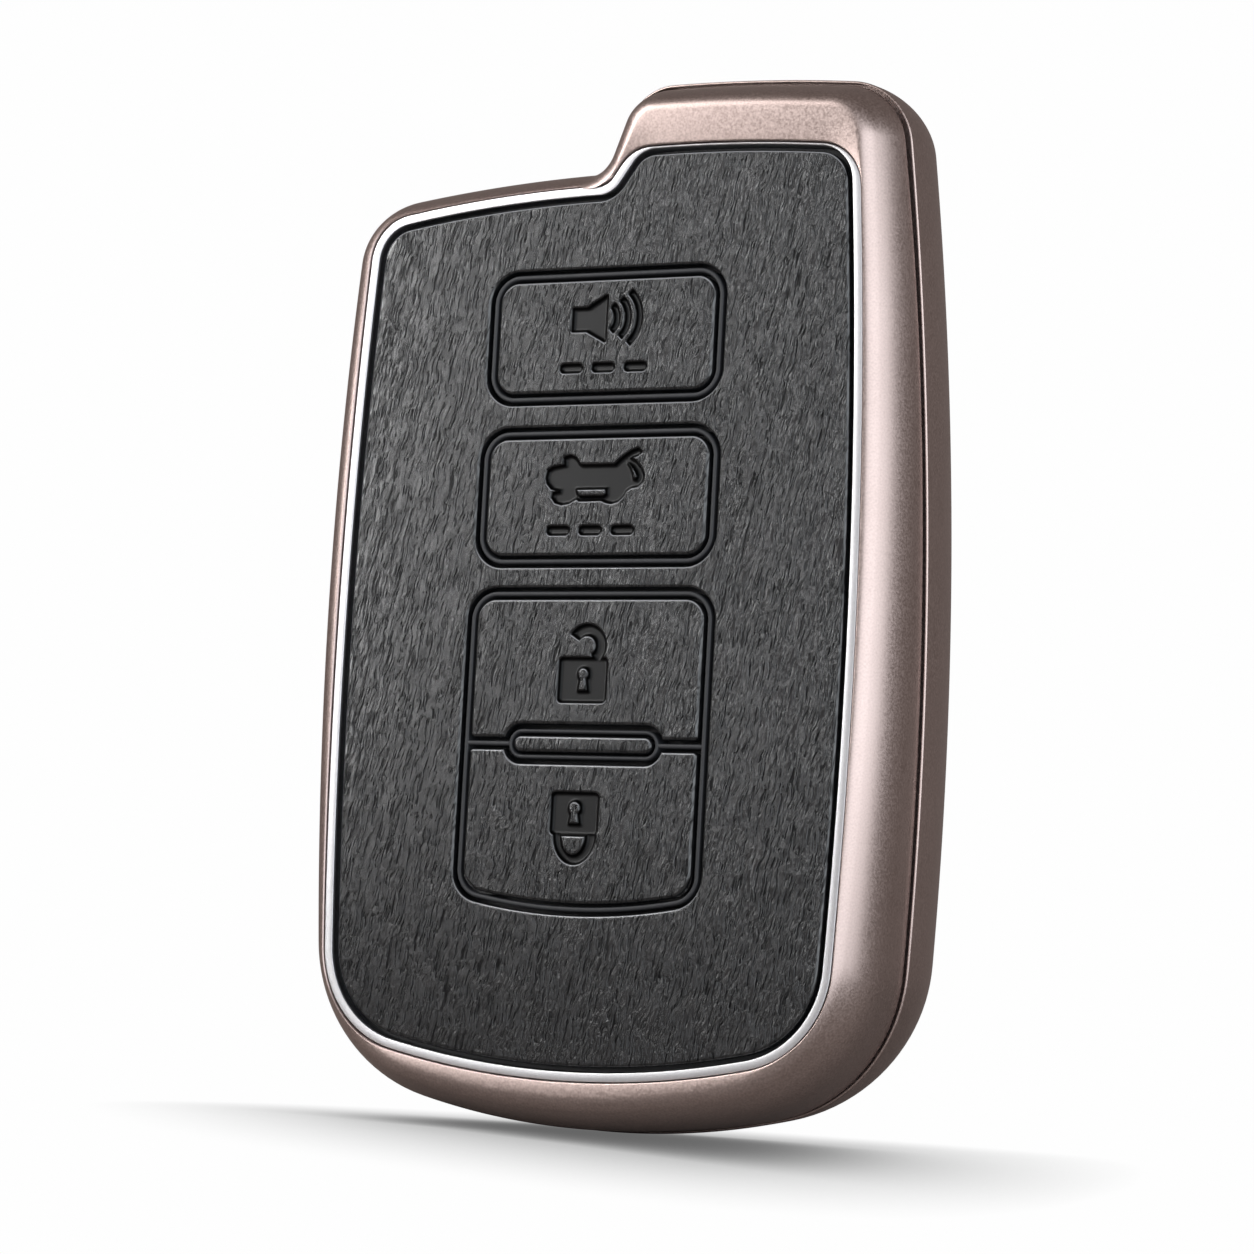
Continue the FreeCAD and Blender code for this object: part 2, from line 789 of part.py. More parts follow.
def button_plunger(name):
    """Plate under the cap, stem through the tray, collar behind it and a nub for the fob's button."""
    body = front_body(f"{name}_plunger")
    plate = size("plate_thickness")
    margin = size("plate_margin")
    bridge = size("bar_half_height") + groove + margin
    face_pad(body, plunger_plate(name, margin, bridge), leather_back, plate)
    stem_front = leather_back + plate
    collar_front = base_back + size("collar_gap")
    stem = stem_plate(name)
    face_pad(body, stem, stem_front, collar_front - stem_front)
    collar = size("collar_thickness")
    face_pad(body, stem, collar_front, collar, size("stem_gap") + size("collar_lap"))
    nub = sketch_at(body, collar_front + collar)
    height = (stem.low + stem.high).half()
    nub.addGeometry(Part.Circle(near(ZERO, height), FreeCAD.Vector(0, 0, 1), size("nub_radius").value), False)
    drive(nub, "Radius", size("nub_radius"), 0)
    drive(nub, "DistanceY", height, *ORIGIN, 0, CENTRE)
    nub.addConstraint(Sketcher.Constraint("PointOnObject", 0, CENTRE, UPRIGHT_AXIS))
    doc.recompute()
    pad(body, nub, size("nub_height"))


def front_retainer():
    """Ring that stands on the tray's back and reaches past the seam into the rear half."""
    body = front_body("front_retainer")
    inset = size("rear_wall") + size("slide_gap")
    ring = case_sketch(body, base_back, inset, inset + size("retainer_wall"))
    pad_to(body, ring, seam_plane(body, size("seam_depth") + size("tongue_length")))
    loop_gap(body, base_back)


# Rear half

rear_back = size("rear_depth") - size("rear_leather_recess")
rear_leather_front = rear_back - size("leather_thickness")
rear_land_back = rear_leather_front - size("film_thickness")
rear_floor = size("rear_depth") - size("rear_flange")
rear_base_front = rear_floor - size("rear_base")
rear_base_width = size("case_half_width") - size("rear_wall") - size("rear_base_side_gap")
rear_base_low = size("case_foot_height") + size("case_foot_corner") + size("rear_base_foot_gap")
rear_base_high = size("case_shoulder_height") - size("case_shoulder_corner") - size("rear_base_shoulder_gap")


def rear_frame():
    body = rear_body("rear_frame")
    depth = size("rear_depth")
    overhang = size("rear_overhang")
    rim = case_sketch(body, depth, -overhang)
    pad(body, rim, depth, forward=True)
    round_edge(body, rim, "rear", depth, size("case_foot_height") - overhang, -1)
    pocket(body, case_sketch(body, ZERO, size("rear_wall")), rear_floor)
    pocket(body, panel_sketch(body, ZERO, size("rear_panel_inset")))
    loop_gap(body, ZERO, size("loop_rear_depth"))


def rear_tray():
    """Inner plate on the rear flange, with a land through the opening that backs the rear leather."""
    body = rear_body("rear_tray")
    plate = Plate(-rear_base_width, rear_base_width, rear_base_low, rear_base_high)
    face_pad(body, plate, rear_base_front, size("rear_base"))
    land = panel_sketch(body, rear_floor, size("rear_panel_inset") + size("fit_gap"))
    pad(body, land, rear_land_back - rear_floor)


def rear_adhesive():
    body = rear_body("rear_adhesive")
    high = size("panel_shoulder_height") - size("film_shoulder_gap")
    film = Plate(-film_width, film_width, film_low, high)
    face_pad(body, film, rear_land_back, size("film_thickness"))


def rear_leather():
    body = rear_body("rear_leather")
    inset = size("rear_panel_inset") + size("rear_panel_gap")
    pad(body, panel_sketch(body, rear_leather_front, inset), size("leather_thickness"))


def rear_liner():
    """Soft pad on the inner plate, which the fob rests on."""
    body = rear_body("rear_liner")
    margin = size("liner_margin")
    corner = size("liner_corner")
    width = rear_base_width - margin
    pad_face = CapFace(width, rear_base_low + margin, rear_base_high - margin, corner, corner)
    face_pad(body, pad_face, rear_base_front - size("liner_thickness"), size("liner_thickness"))


front_frame()
trim_ring()
keypad_tray()
front_adhesive()
front_leather()
finger_bar()
for cap_name in CAPS:
    button_cap(cap_name)
    button_plunger(cap_name)
front_retainer()
rear_frame()
rear_tray()
rear_adhesive()
rear_leather()
rear_liner()
doc.recompute()

failed = [item.Label for item in doc.Objects if {"Invalid", "Error"} & set(item.State)]
bodies = [item for item in doc.Objects if item.TypeId == "PartDesign::Body"]
for part in bodies:
    if part.Shape.isNull() or not part.Shape.isValid() or len(part.Shape.Solids) != 1:
        failed.append(part.Label)
if failed:
    sys.exit("not built: " + ", ".join(failed))
os.makedirs("parts", exist_ok=True)
for part in bodies:
    part.Shape.exportStep(f"parts/{part.Label}.step")
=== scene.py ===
"""Looks of a key fob cover: two satin metal halves, leather panels and four debossed leather buttons.

Sizes in the classes are millimetres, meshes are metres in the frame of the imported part.
X runs to the right, Z up along the case, and the keypad faces -Y.
"""

import logging
import math
from dataclasses import dataclass, field, replace
from enum import Enum
from typing import Any, ClassVar, Sequence

import bmesh
import bpy
import numpy as np
from mathutils import Matrix, Vector
from mathutils.geometry import delaunay_2d_cdt


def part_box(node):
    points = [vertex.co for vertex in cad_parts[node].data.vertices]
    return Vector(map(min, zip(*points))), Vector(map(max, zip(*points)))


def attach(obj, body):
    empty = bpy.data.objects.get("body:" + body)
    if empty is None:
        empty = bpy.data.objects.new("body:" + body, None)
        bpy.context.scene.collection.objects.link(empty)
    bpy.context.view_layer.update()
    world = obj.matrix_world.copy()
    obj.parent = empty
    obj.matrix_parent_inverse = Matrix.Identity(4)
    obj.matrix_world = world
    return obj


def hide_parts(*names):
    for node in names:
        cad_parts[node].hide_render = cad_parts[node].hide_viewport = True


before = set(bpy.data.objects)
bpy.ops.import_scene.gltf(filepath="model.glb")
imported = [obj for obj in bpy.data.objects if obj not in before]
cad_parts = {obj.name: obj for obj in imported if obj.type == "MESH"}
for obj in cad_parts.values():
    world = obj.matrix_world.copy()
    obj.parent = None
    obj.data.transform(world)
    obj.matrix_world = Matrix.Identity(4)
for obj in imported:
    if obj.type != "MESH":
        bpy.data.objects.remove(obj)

Array = np.ndarray
Pair = tuple[float, float]
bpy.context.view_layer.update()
MM = 0.001
FAR = 5.0e4  # radius that stands for a straight edge
WELD = 2.0e-7  # metres, within which points of a mesh become one
FLAT_WELD = 1e-6  # the same for the triangles of a flat face, in millimetres
TRIANGLES_INSIDE = 1  # what the triangulation of a flat face gives back
TINY = 1e-9  # keeps a division from zero
NOISE_MIDDLE = (0.5, 0.5, 0.5)  # what a colour noise varies about
CREASE = 38.0  # degrees past which an edge stays sharp
SOFT_CREASE = 70.0  # the same on leather, whose pressed walls are steep and still smooth
PRESSED = "pressed"  # share of a leather face that a symbol presses down
log = logging.getLogger("key_fob_cover")


# Outlines


@dataclass(frozen=True)
class Loop:
    """A closed outline: points and outward normals, matched by index within a family of outlines."""

    points: Array
    normals: Array

    def inset(self, distance: float | Array) -> Array:
        """Points moved inward along the normals by one distance, or by one for each point."""
        return self.points - np.reshape(distance, (-1, 1)) * self.normals


def filleted(
    centres: Array, radii: Array, corners: Array, near: Array, edge_steps: Sequence[int], corner_steps: int
) -> Loop:
    """Walks a counter-clockwise chain of circular edges joined by tangent corner arcs.

    A corner's centre is the crossing of its two edge circles, both shrunk by the corner radius,
    so every inset of the loop keeps the same centres and the same angles.

    Args:
        centres: Centre of each edge circle, one row per edge.
        radii: Radius of each edge circle.
        corners: Corner radius after each edge, below zero for an inner corner.
        near: Rough place of each corner, which picks the crossing.
        edge_steps: Points along each edge.
        corner_steps: Points along each corner.

    Returns:
        The loop of points with outward normals.
    """
    next_centres, next_radii = np.roll(centres, -1, 0), np.roll(radii, -1)
    own, other = radii - corners, next_radii - corners
    apart = next_centres - centres
    span = np.linalg.norm(apart, axis=1)
    along = (span**2 + own**2 - other**2) / (2 * span)
    across = np.sqrt(np.maximum(own**2 - along**2, 0))
    unit = apart / span[:, None]
    square = np.stack([-unit[:, 1], unit[:, 0]], 1)
    sides = np.array([1, -1])[:, None, None]
    options = centres + along[:, None] * unit + sides * across[:, None] * square
    pick = np.argmin(np.linalg.norm(options - near, axis=2), axis=0)
    hubs = options[pick, np.arange(len(radii))]
    leave = np.arctan2(*(hubs - centres).T[::-1])
    arrive = np.arctan2(*(hubs - next_centres).T[::-1])
    points, normals = [], []
    for edge, steps in enumerate(edge_steps):
        for hub, radius, start, end, count in (
            (centres[edge], radii[edge], arrive[edge - 1], leave[edge], steps),
            (hubs[edge], corners[edge], leave[edge], arrive[edge], corner_steps),
        ):
            turn = (end - start + math.pi) % (2 * math.pi) - math.pi
            angle = start + turn * np.arange(count) / count
            normal = np.stack([np.cos(angle), np.sin(angle)], 1)
            points.append(hub + radius * normal)
            normals.append(normal)
    return Loop(np.concatenate(points), np.concatenate(normals))


@dataclass(frozen=True)
class NotchedOutline:
    """Outline of the case or its panel: bowed foot, sides and head, with a step down at the upper left."""

    half_width: float
    belly: float
    side_radius: float
    foot: float
    foot_radius: float
    shoulder_x: float
    shoulder: float
    shoulder_radius: float
    riser_distance: float
    riser_angle: float
    head_x: float
    head: float
    head_radius: float
    foot_corner: float
    head_corner: float
    notch_crest: float
    notch_root: float
    shoulder_corner: float
    edge_steps: ClassVar[tuple[int, ...]] = (60, 110, 70, 14, 150, 110)
    corner_steps: ClassVar[int] = 22

    def loop(self) -> Loop:
        """Chains the foot, the right side, the head, the riser, the shoulder and the left side.

        Returns:
            The outline as a loop.
        """
        lean = math.radians(self.riser_angle)
        reach = self.riser_distance - FAR
        wide, side = self.half_width, self.half_width - self.side_radius
        centres = np.array([
            (0, self.foot + self.foot_radius),
            (side, self.belly),
            (self.head_x, self.head - self.head_radius),
            (-reach * math.sin(lean), reach * math.cos(lean)),
            (self.shoulder_x, self.shoulder - self.shoulder_radius),
            (-side, self.belly),
        ])
        radii = np.array([
            self.foot_radius, self.side_radius, self.head_radius, FAR, self.shoulder_radius, self.side_radius
        ])
        corners = np.array([
            self.foot_corner, self.head_corner, self.notch_crest, -self.notch_root,
            self.shoulder_corner, self.foot_corner,
        ])
        notch = (self.riser_distance - self.head * math.cos(lean)) / -math.sin(lean)
        near = np.array([
            (wide, self.foot), (wide, self.head), (notch, self.head),
            (notch, self.shoulder), (-wide, self.shoulder), (-wide, self.foot),
        ])
        return filleted(centres, radii, corners, near, self.edge_steps, self.corner_steps)

    def low_head(self, drop: float) -> "NotchedOutline":
        """The same outline with its head edge drawn in by a drop."""
        return replace(self, head=self.head - drop, head_radius=self.head_radius - drop)


CASE = NotchedOutline(
    half_width=24.75, belly=39.0, side_radius=334.0, foot=0.19, foot_radius=61.0,
    shoulder_x=0.7, shoulder=73.2, shoulder_radius=138.0, riser_distance=27.1, riser_angle=69.8,
    head_x=4.6, head=79.45, head_radius=140.0,
    foot_corner=12.6, head_corner=5.1, notch_crest=4.0, notch_root=1.8, shoulder_corner=5.9,
)
PANEL = NotchedOutline(
    half_width=21.3, belly=36.0, side_radius=440.0, foot=4.65, foot_radius=71.0,
    shoulder_x=0.35, shoulder=70.5, shoulder_radius=115.0, riser_distance=40.4, riser_angle=55.0,
    head_x=5.5, head=73.85, head_radius=126.0,
    foot_corner=7.2, head_corner=2.75, notch_crest=2.2, notch_root=2.3, shoulder_corner=2.9,
)


@dataclass(frozen=True)
class PadOutline:
    """Rounded rectangle of a button or a bar, centred on X, whose foot may be bowed."""

    low: float
    high: float
    half_width: float
    corner: float
    foot_radius: float = FAR
    edge_steps: ClassVar[tuple[int, ...]] = (60, 40, 60, 40)
    corner_steps: ClassVar[int] = 14

    def loop(self) -> Loop:
        """Chains the foot, the right side, the head and the left side.

        Returns:
            The outline as a loop.
        """
        wide, middle = self.half_width, (self.low + self.high) / 2
        centres = np.array([
            (0, self.low + self.foot_radius), (wide - FAR, middle), (0, self.high - FAR), (FAR - wide, middle)
        ])
        radii = np.array([self.foot_radius, FAR, FAR, FAR])
        near = np.array([(wide, self.low), (wide, self.high), (-wide, self.high), (-wide, self.low)])
        corners = np.full(len(near), self.corner)
        return filleted(centres, radii, corners, near, self.edge_steps, self.corner_steps)


# Meshes


class Half(Enum):
    """The two halves of the case by their bodies, each with its own depth axis."""

    FRONT = "front_shell"
    REAR = "rear_shell"

    def place(self, points: Array) -> Array:
        """Turns points of this half into the frame of the part.

        The front half's depth starts at its face. The rear half's depth starts at the seam, which leans
        about the pivot: y = pivot + depth cos - rise sin, z = pivot + depth sin + rise cos.

        Args:
            points: (x, depth, height) in millimetres.

        Returns:
            (x, y, z) in millimetres.
        """
        x, depth, height = np.moveaxis(points, -1, 0)
        if self is Half.FRONT:
            return np.stack([x, SEAM.face + depth, height], -1)
        rise = height - SEAM.pivot
        sin, cos = math.sin(SEAM.tilt), math.cos(SEAM.tilt)
        y = SEAM.face + SEAM.depth + depth * cos - rise * sin
        return np.stack([x, y, SEAM.pivot + depth * sin + rise * cos], -1)


@dataclass(frozen=True)
class Seam:
    """The leaning plane where the halves meet."""

    face: float
    depth: float = 6.2
    pivot: float = 40.0
    tilt: float = math.radians(4.2)
    gap: float = 0.15

    def front_depth(self, height: Array) -> Array:
        """Depth at which the front half ends, falling towards the head."""
        return self.depth - self.gap - (height - self.pivot) * math.tan(self.tilt)


SEAM = Seam(face=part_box("front_frame")[0].y / MM)


def section(rows: Sequence[tuple[Array, float | Array]]) -> Array:
    """Stacks (outline, depth) rows into a grid of (x, depth, height) points."""
    return np.stack([
        np.column_stack([plane[:, 0], np.broadcast_to(depth, len(plane)), plane[:, 1]])
        for plane, depth in rows
    ])


def quarter(radius: float, steps: int) -> tuple[Array, Array]:
    """Quarter round from face to wall as (inset, depth): radius (1 - sin a), radius (1 - cos a)."""
    angle = np.linspace(0, math.pi / 2, steps)
    return radius * (1 - np.sin(angle)), radius * (1 - np.cos(angle))


def swept_edge(width: float, depth: float, radius: float, steps: int) -> tuple[Array, Array]:
    """Section of a broad rounded edge: a small arc at the face runs tangent into a wide arc at the wall.

    The wide radius is (width^2 + (depth - radius)^2 - radius^2) / (2 (width - radius)).

    Args:
        width: How far the edge reaches into the outline.
        depth: How far it reaches along the wall.
        radius: Radius of the small arc.
        steps: Points on each arc.

    Returns:
        Inset and depth from the face to the wall.
    """
    wide = (width**2 + (depth - radius) ** 2 - radius**2) / (2 * (width - radius))
    joint = math.pi / 2 - math.atan2(depth - radius, wide - width)
    small = np.linspace(0, joint, steps)
    large = np.linspace(joint, math.pi / 2, steps + 1)[1:]
    inset = np.concatenate([width - radius * np.sin(small), wide - wide * np.sin(large)])
    return inset, np.concatenate([radius - radius * np.cos(small), depth - wide * np.cos(large)])


def within(points: Array, edges: Array) -> Array:
    """Whether each point lies inside closed loops, by an odd count of edges crossed to its right.

    Args:
        points: Points of the plane.
        edges: Start and end of each edge.

    Returns:
        One truth value for each point.
    """
    (ax, az), (bx, bz) = edges[:, 0].T, edges[:, 1].T
    x, z = points[:, :1], points[:, 1:]
    crossed = (az > z) != (bz > z)
    slope = (bx - ax) / np.where(az == bz, 1.0, bz - az)
    return np.count_nonzero(crossed & (x < ax + (z - az) * slope), axis=1) % 2 == 1


def into_scene(name: str, data: bpy.types.ID) -> bpy.types.Object:
    """Puts a mesh, a light or a camera into the scene.

    Args:
        name: Name of the object.
        data: What the object shows.

    Returns:
        The object.
    """
    thing = bpy.data.objects.new(name, data)
    bpy.context.scene.collection.objects.link(thing)
    return thing


@dataclass
class Skin:
    """Grids and flats of one piece, gathered in its half's own axes and welded into a mesh."""

    half: Half
    corners: list[Array] = field(default_factory=list)
    faces: list[list[int]] = field(default_factory=list)
    count: int = 0

    def take(self, points: Array, faces: Array) -> "Skin":
        """Adds points and the faces between them.

        Args:
            points: (x, depth, height) of each point.
            faces: Rows of indices into these points.

        Returns:
            The skin itself.
        """
        self.corners.append(points)
        self.faces.extend((faces + self.count).tolist())
        self.count += len(points)
        return self

    def grid(self, surface: Array, ring: bool = True, tube: bool = False) -> "Skin":
        """Adds the quads of a grid of points.

        Args:
            surface: Points by row and column.
            ring: Whether each row closes on itself.
            tube: Whether the last row joins the first.

        Returns:
            The skin itself.
        """
        rows, columns = surface.shape[:2]
        row, column = np.meshgrid(
            np.arange(rows if tube else rows - 1), np.arange(columns if ring else columns - 1), indexing="ij"
        )
        below, beside = (row + 1) % rows, (column + 1) % columns
        quads = np.stack([
            row * columns + column, row * columns + beside, below * columns + beside, below * columns + column
        ], -1)
        return self.take(surface.reshape(-1, 3), quads.reshape(-1, 4))

    def flat(self, loops: Sequence[Array], depth: float) -> "Skin":
        """Adds a flat face, in triangles between its loops.

        Args:
            loops: The outer loop, then those of the openings.
            depth: Depth of the face.

        Returns:
            The skin itself.
        """
        sizes = [len(loop) for loop in loops]
        starts = np.cumsum([0, *sizes[:-1]])
        edges = np.concatenate([
            np.stack([start + np.arange(size), start + (np.arange(size) + 1) % size], 1)
            for start, size in zip(starts, sizes)
        ])
        plane = np.concatenate(loops)
        points, _, faces, *_ = delaunay_2d_cdt(
            [Vector(p) for p in plane], edges.tolist(), [], TRIANGLES_INSIDE, FLAT_WELD
        )
        found, faces = np.array(points), np.array(faces)
        kept = faces[within(found[faces].mean(1), plane[edges])]
        return self.take(np.column_stack([found[:, 0], np.full(len(found), depth), found[:, 1]]), kept)

    def bar(self, loop: Loop, top: float, bottom: float, radius: float, steps: int) -> "Skin":
        """Adds a closed bar: a wall round a loop, a quarter round along its top edge, and both flats.

        Args:
            loop: Outline of the bar.
            top: Depth of its face.
            bottom: Depth of its underside.
            radius: Radius of the quarter round.
            steps: Points on the quarter round.

        Returns:
            The skin itself.
        """
        inset, depth = quarter(radius, steps)
        rows = [(loop.inset(0), bottom)]
        rows += [(loop.inset(i), top + d) for i, d in zip(inset[::-1], depth[::-1])]
        return self.grid(section(rows)).flat([rows[0][0]], bottom).flat([rows[-1][0]], top)

    def piece(
        self, name: str, finish: "Finish", stands_for: str = "", slot: str = "", body: str = "",
        crease: float = CREASE,
    ) -> bpy.types.Object:
        """Welds what was gathered into one object that rides on a body.

        Args:
            name: Name of the piece.
            finish: Its finish.
            stands_for: The CAD node it replaces, if any.
            slot: The record's material slot of its finish, if any; not used.
            body: The body it rides on, if not the half's own.
            crease: Angle in degrees past which an edge stays sharp.

        Returns:
            The object, with its place in its mesh.
        """
        body = body or self.half.value
        mesh = bpy.data.meshes.new(name)
        points = self.half.place(np.concatenate(self.corners)) * MM
        mesh.from_pydata(points.tolist(), [], self.faces)
        shell = bmesh.new()
        shell.from_mesh(mesh)
        bmesh.ops.remove_doubles(shell, verts=shell.verts, dist=WELD)
        bmesh.ops.recalc_face_normals(shell, faces=shell.faces)
        shell.to_mesh(mesh)
        shell.free()
        mesh.shade_smooth()
        mesh.set_sharp_from_angle(angle=math.radians(crease))
        mesh.materials.append(finish.material())
        thing = into_scene(name, mesh)
        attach(thing, body)
        if stands_for:
            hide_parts(stands_for)
        log.info("%s: %d faces on %s", name, len(mesh.polygons), body)
        return thing


# Finishes


def to_linear(colour: str) -> tuple[float, float, float, float]:
    """Turns an sRGB colour into linear light.

    Args:
        colour: Hex value with its leading sign.

    Returns:
        Linear red, green and blue with full alpha.
    """
    values = np.array([int(colour[at:at + 2], 16) for at in (1, 3, 5)]) / 255
    light = np.where(values <= 0.04045, values / 12.92, ((values + 0.055) / 1.055) ** 2.4)
    return (*light.tolist(), 1.0)


def bare_tree(owner: bpy.types.ID) -> bpy.types.NodeTree:
    """Clears the nodes of a new material or world.

    Args:
        owner: The material or world.

    Returns:
        Its empty node tree.
    """
    owner.use_nodes = True
    owner.node_tree.nodes.clear()
    return owner.node_tree


def add(
    tree: bpy.types.NodeTree, kind: str, inputs: dict[Any, Any] | None = None, **settings: Any
) -> bpy.types.Node:
    """Adds one shader node with its settings and its inputs.

    Args:
        tree: The node tree.
        kind: The node's type, without the prefix that all shader nodes share.
        inputs: For each named or numbered input in use, a value, an sRGB hex colour, a socket,
            or a node whose first output in use is meant.
        settings: Properties of the node.

    Returns:
        The node.
    """
    node = tree.nodes.new(f"ShaderNode{kind}")
    for key, value in settings.items():
        setattr(node, key, value)
    sockets = [socket for socket in node.inputs if socket.enabled]
    for key, value in (inputs or {}).items():
        socket = sockets[key] if isinstance(key, int) else next(s for s in sockets if s.name == key)
        if isinstance(value, bpy.types.Node):
            value = next(output for output in value.outputs if output.enabled)
        if isinstance(value, bpy.types.NodeSocket):
            tree.links.new(value, socket)
        else:
            socket.default_value = to_linear(value) if isinstance(value, str) else value
    return node


def per(size: float) -> float:
    """Texture scale whose features are about one size in millimetres across."""
    return 1 / (size * MM)


@dataclass(frozen=True)
class Finish:
    """A real material and how its surface was made."""

    name: str

    def surface(self, tree: bpy.types.NodeTree, place: bpy.types.NodeSocket) -> dict[str, Any]:
        """Draws the surface's patterns.

        Args:
            tree: The material's node tree.
            place: The object's own coordinates.

        Returns:
            Inputs of the shader.
        """
        raise NotImplementedError

    def material(self) -> bpy.types.Material:
        """Makes the material of this finish, once.

        Returns:
            The material.
        """
        if self.name in bpy.data.materials:
            return bpy.data.materials[self.name]
        material = bpy.data.materials.new(self.name)
        tree = bare_tree(material)
        place = add(tree, "TexCoord").outputs["Object"]
        shader = add(tree, "BsdfPrincipled", self.surface(tree, place))
        add(tree, "OutputMaterial", {"Surface": shader})
        return material


@dataclass(frozen=True)
class SatinPlating(Finish):
    """Die-cast zinc under satin rose-taupe plating: broad soft highlights with a fine metallic sparkle."""

    light: str = "#dac7c1"
    dark: str = "#9f8d87"
    cloud: float = 9.0
    cloud_detail: float = 2.0
    cloud_share: float = 0.25
    grit: float = 0.16
    grit_detail: float = 0.5
    grit_span: Pair = (0.3, 0.7)
    grit_height: float = 0.003
    relief: float = 0.5
    roughness: Pair = (0.33, 0.43)

    def surface(self, tree: bpy.types.NodeTree, place: bpy.types.NodeSocket) -> dict[str, Any]:
        """Draws grit and slow clouding in the colour, and grit in roughness and relief.

        Args:
            tree: The material's node tree.
            place: The object's own coordinates.

        Returns:
            Inputs of the shader.
        """
        # The real flake is finer than a pixel, so the grit is drawn as coarse as it needs to show.
        cloud, grit = (
            add(tree, "TexNoise", {"Vector": place, "Scale": per(size), "Detail": detail})
            for size, detail in ((self.cloud, self.cloud_detail), (self.grit, self.grit_detail))
        )
        both = add(tree, "Mix", {"Factor": self.cloud_share, "A": grit, "B": cloud})
        colour = add(tree, "Mix", {"Factor": both, "A": self.dark, "B": self.light}, data_type="RGBA")
        return {
            "Base Color": colour,
            "Metallic": 1.0,
            "Roughness": add(tree, "MapRange", {
                "Value": grit, "From Min": self.grit_span[0], "From Max": self.grit_span[1],
                "To Min": self.roughness[0], "To Max": self.roughness[1],
            }),
            "Normal": add(tree, "Bump", {
                "Height": grit, "Strength": self.relief, "Distance": self.grit_height * MM
            }),
        }


@dataclass(frozen=True)
class BrightSteel(Finish):
    """Satin stainless strip: bright from all sides, with a faint haze left by the polishing wheel."""

    light: str = "#e6e6e8"
    dark: str = "#d2d2d5"
    haze: float = 0.2
    haze_detail: float = 3.0
    roughness: Pair = (0.38, 0.48)

    def surface(self, tree: bpy.types.NodeTree, place: bpy.types.NodeSocket) -> dict[str, Any]:
        """Draws the haze in colour and roughness.

        Args:
            tree: The material's node tree.
            place: The object's own coordinates.

        Returns:
            Inputs of the shader.
        """
        # Real polishing marks are finer than a pixel, so the haze is drawn as coarse as it needs to show.
        haze = add(tree, "TexNoise", {"Vector": place, "Scale": per(self.haze), "Detail": self.haze_detail})
        colour = add(tree, "Mix", {"Factor": haze, "A": self.dark, "B": self.light}, data_type="RGBA")
        return {
            "Base Color": colour,
            "Metallic": 1.0,
            "Roughness": add(tree, "MapRange", {
                "Value": haze, "To Min": self.roughness[0], "To Max": self.roughness[1]
            }),
        }


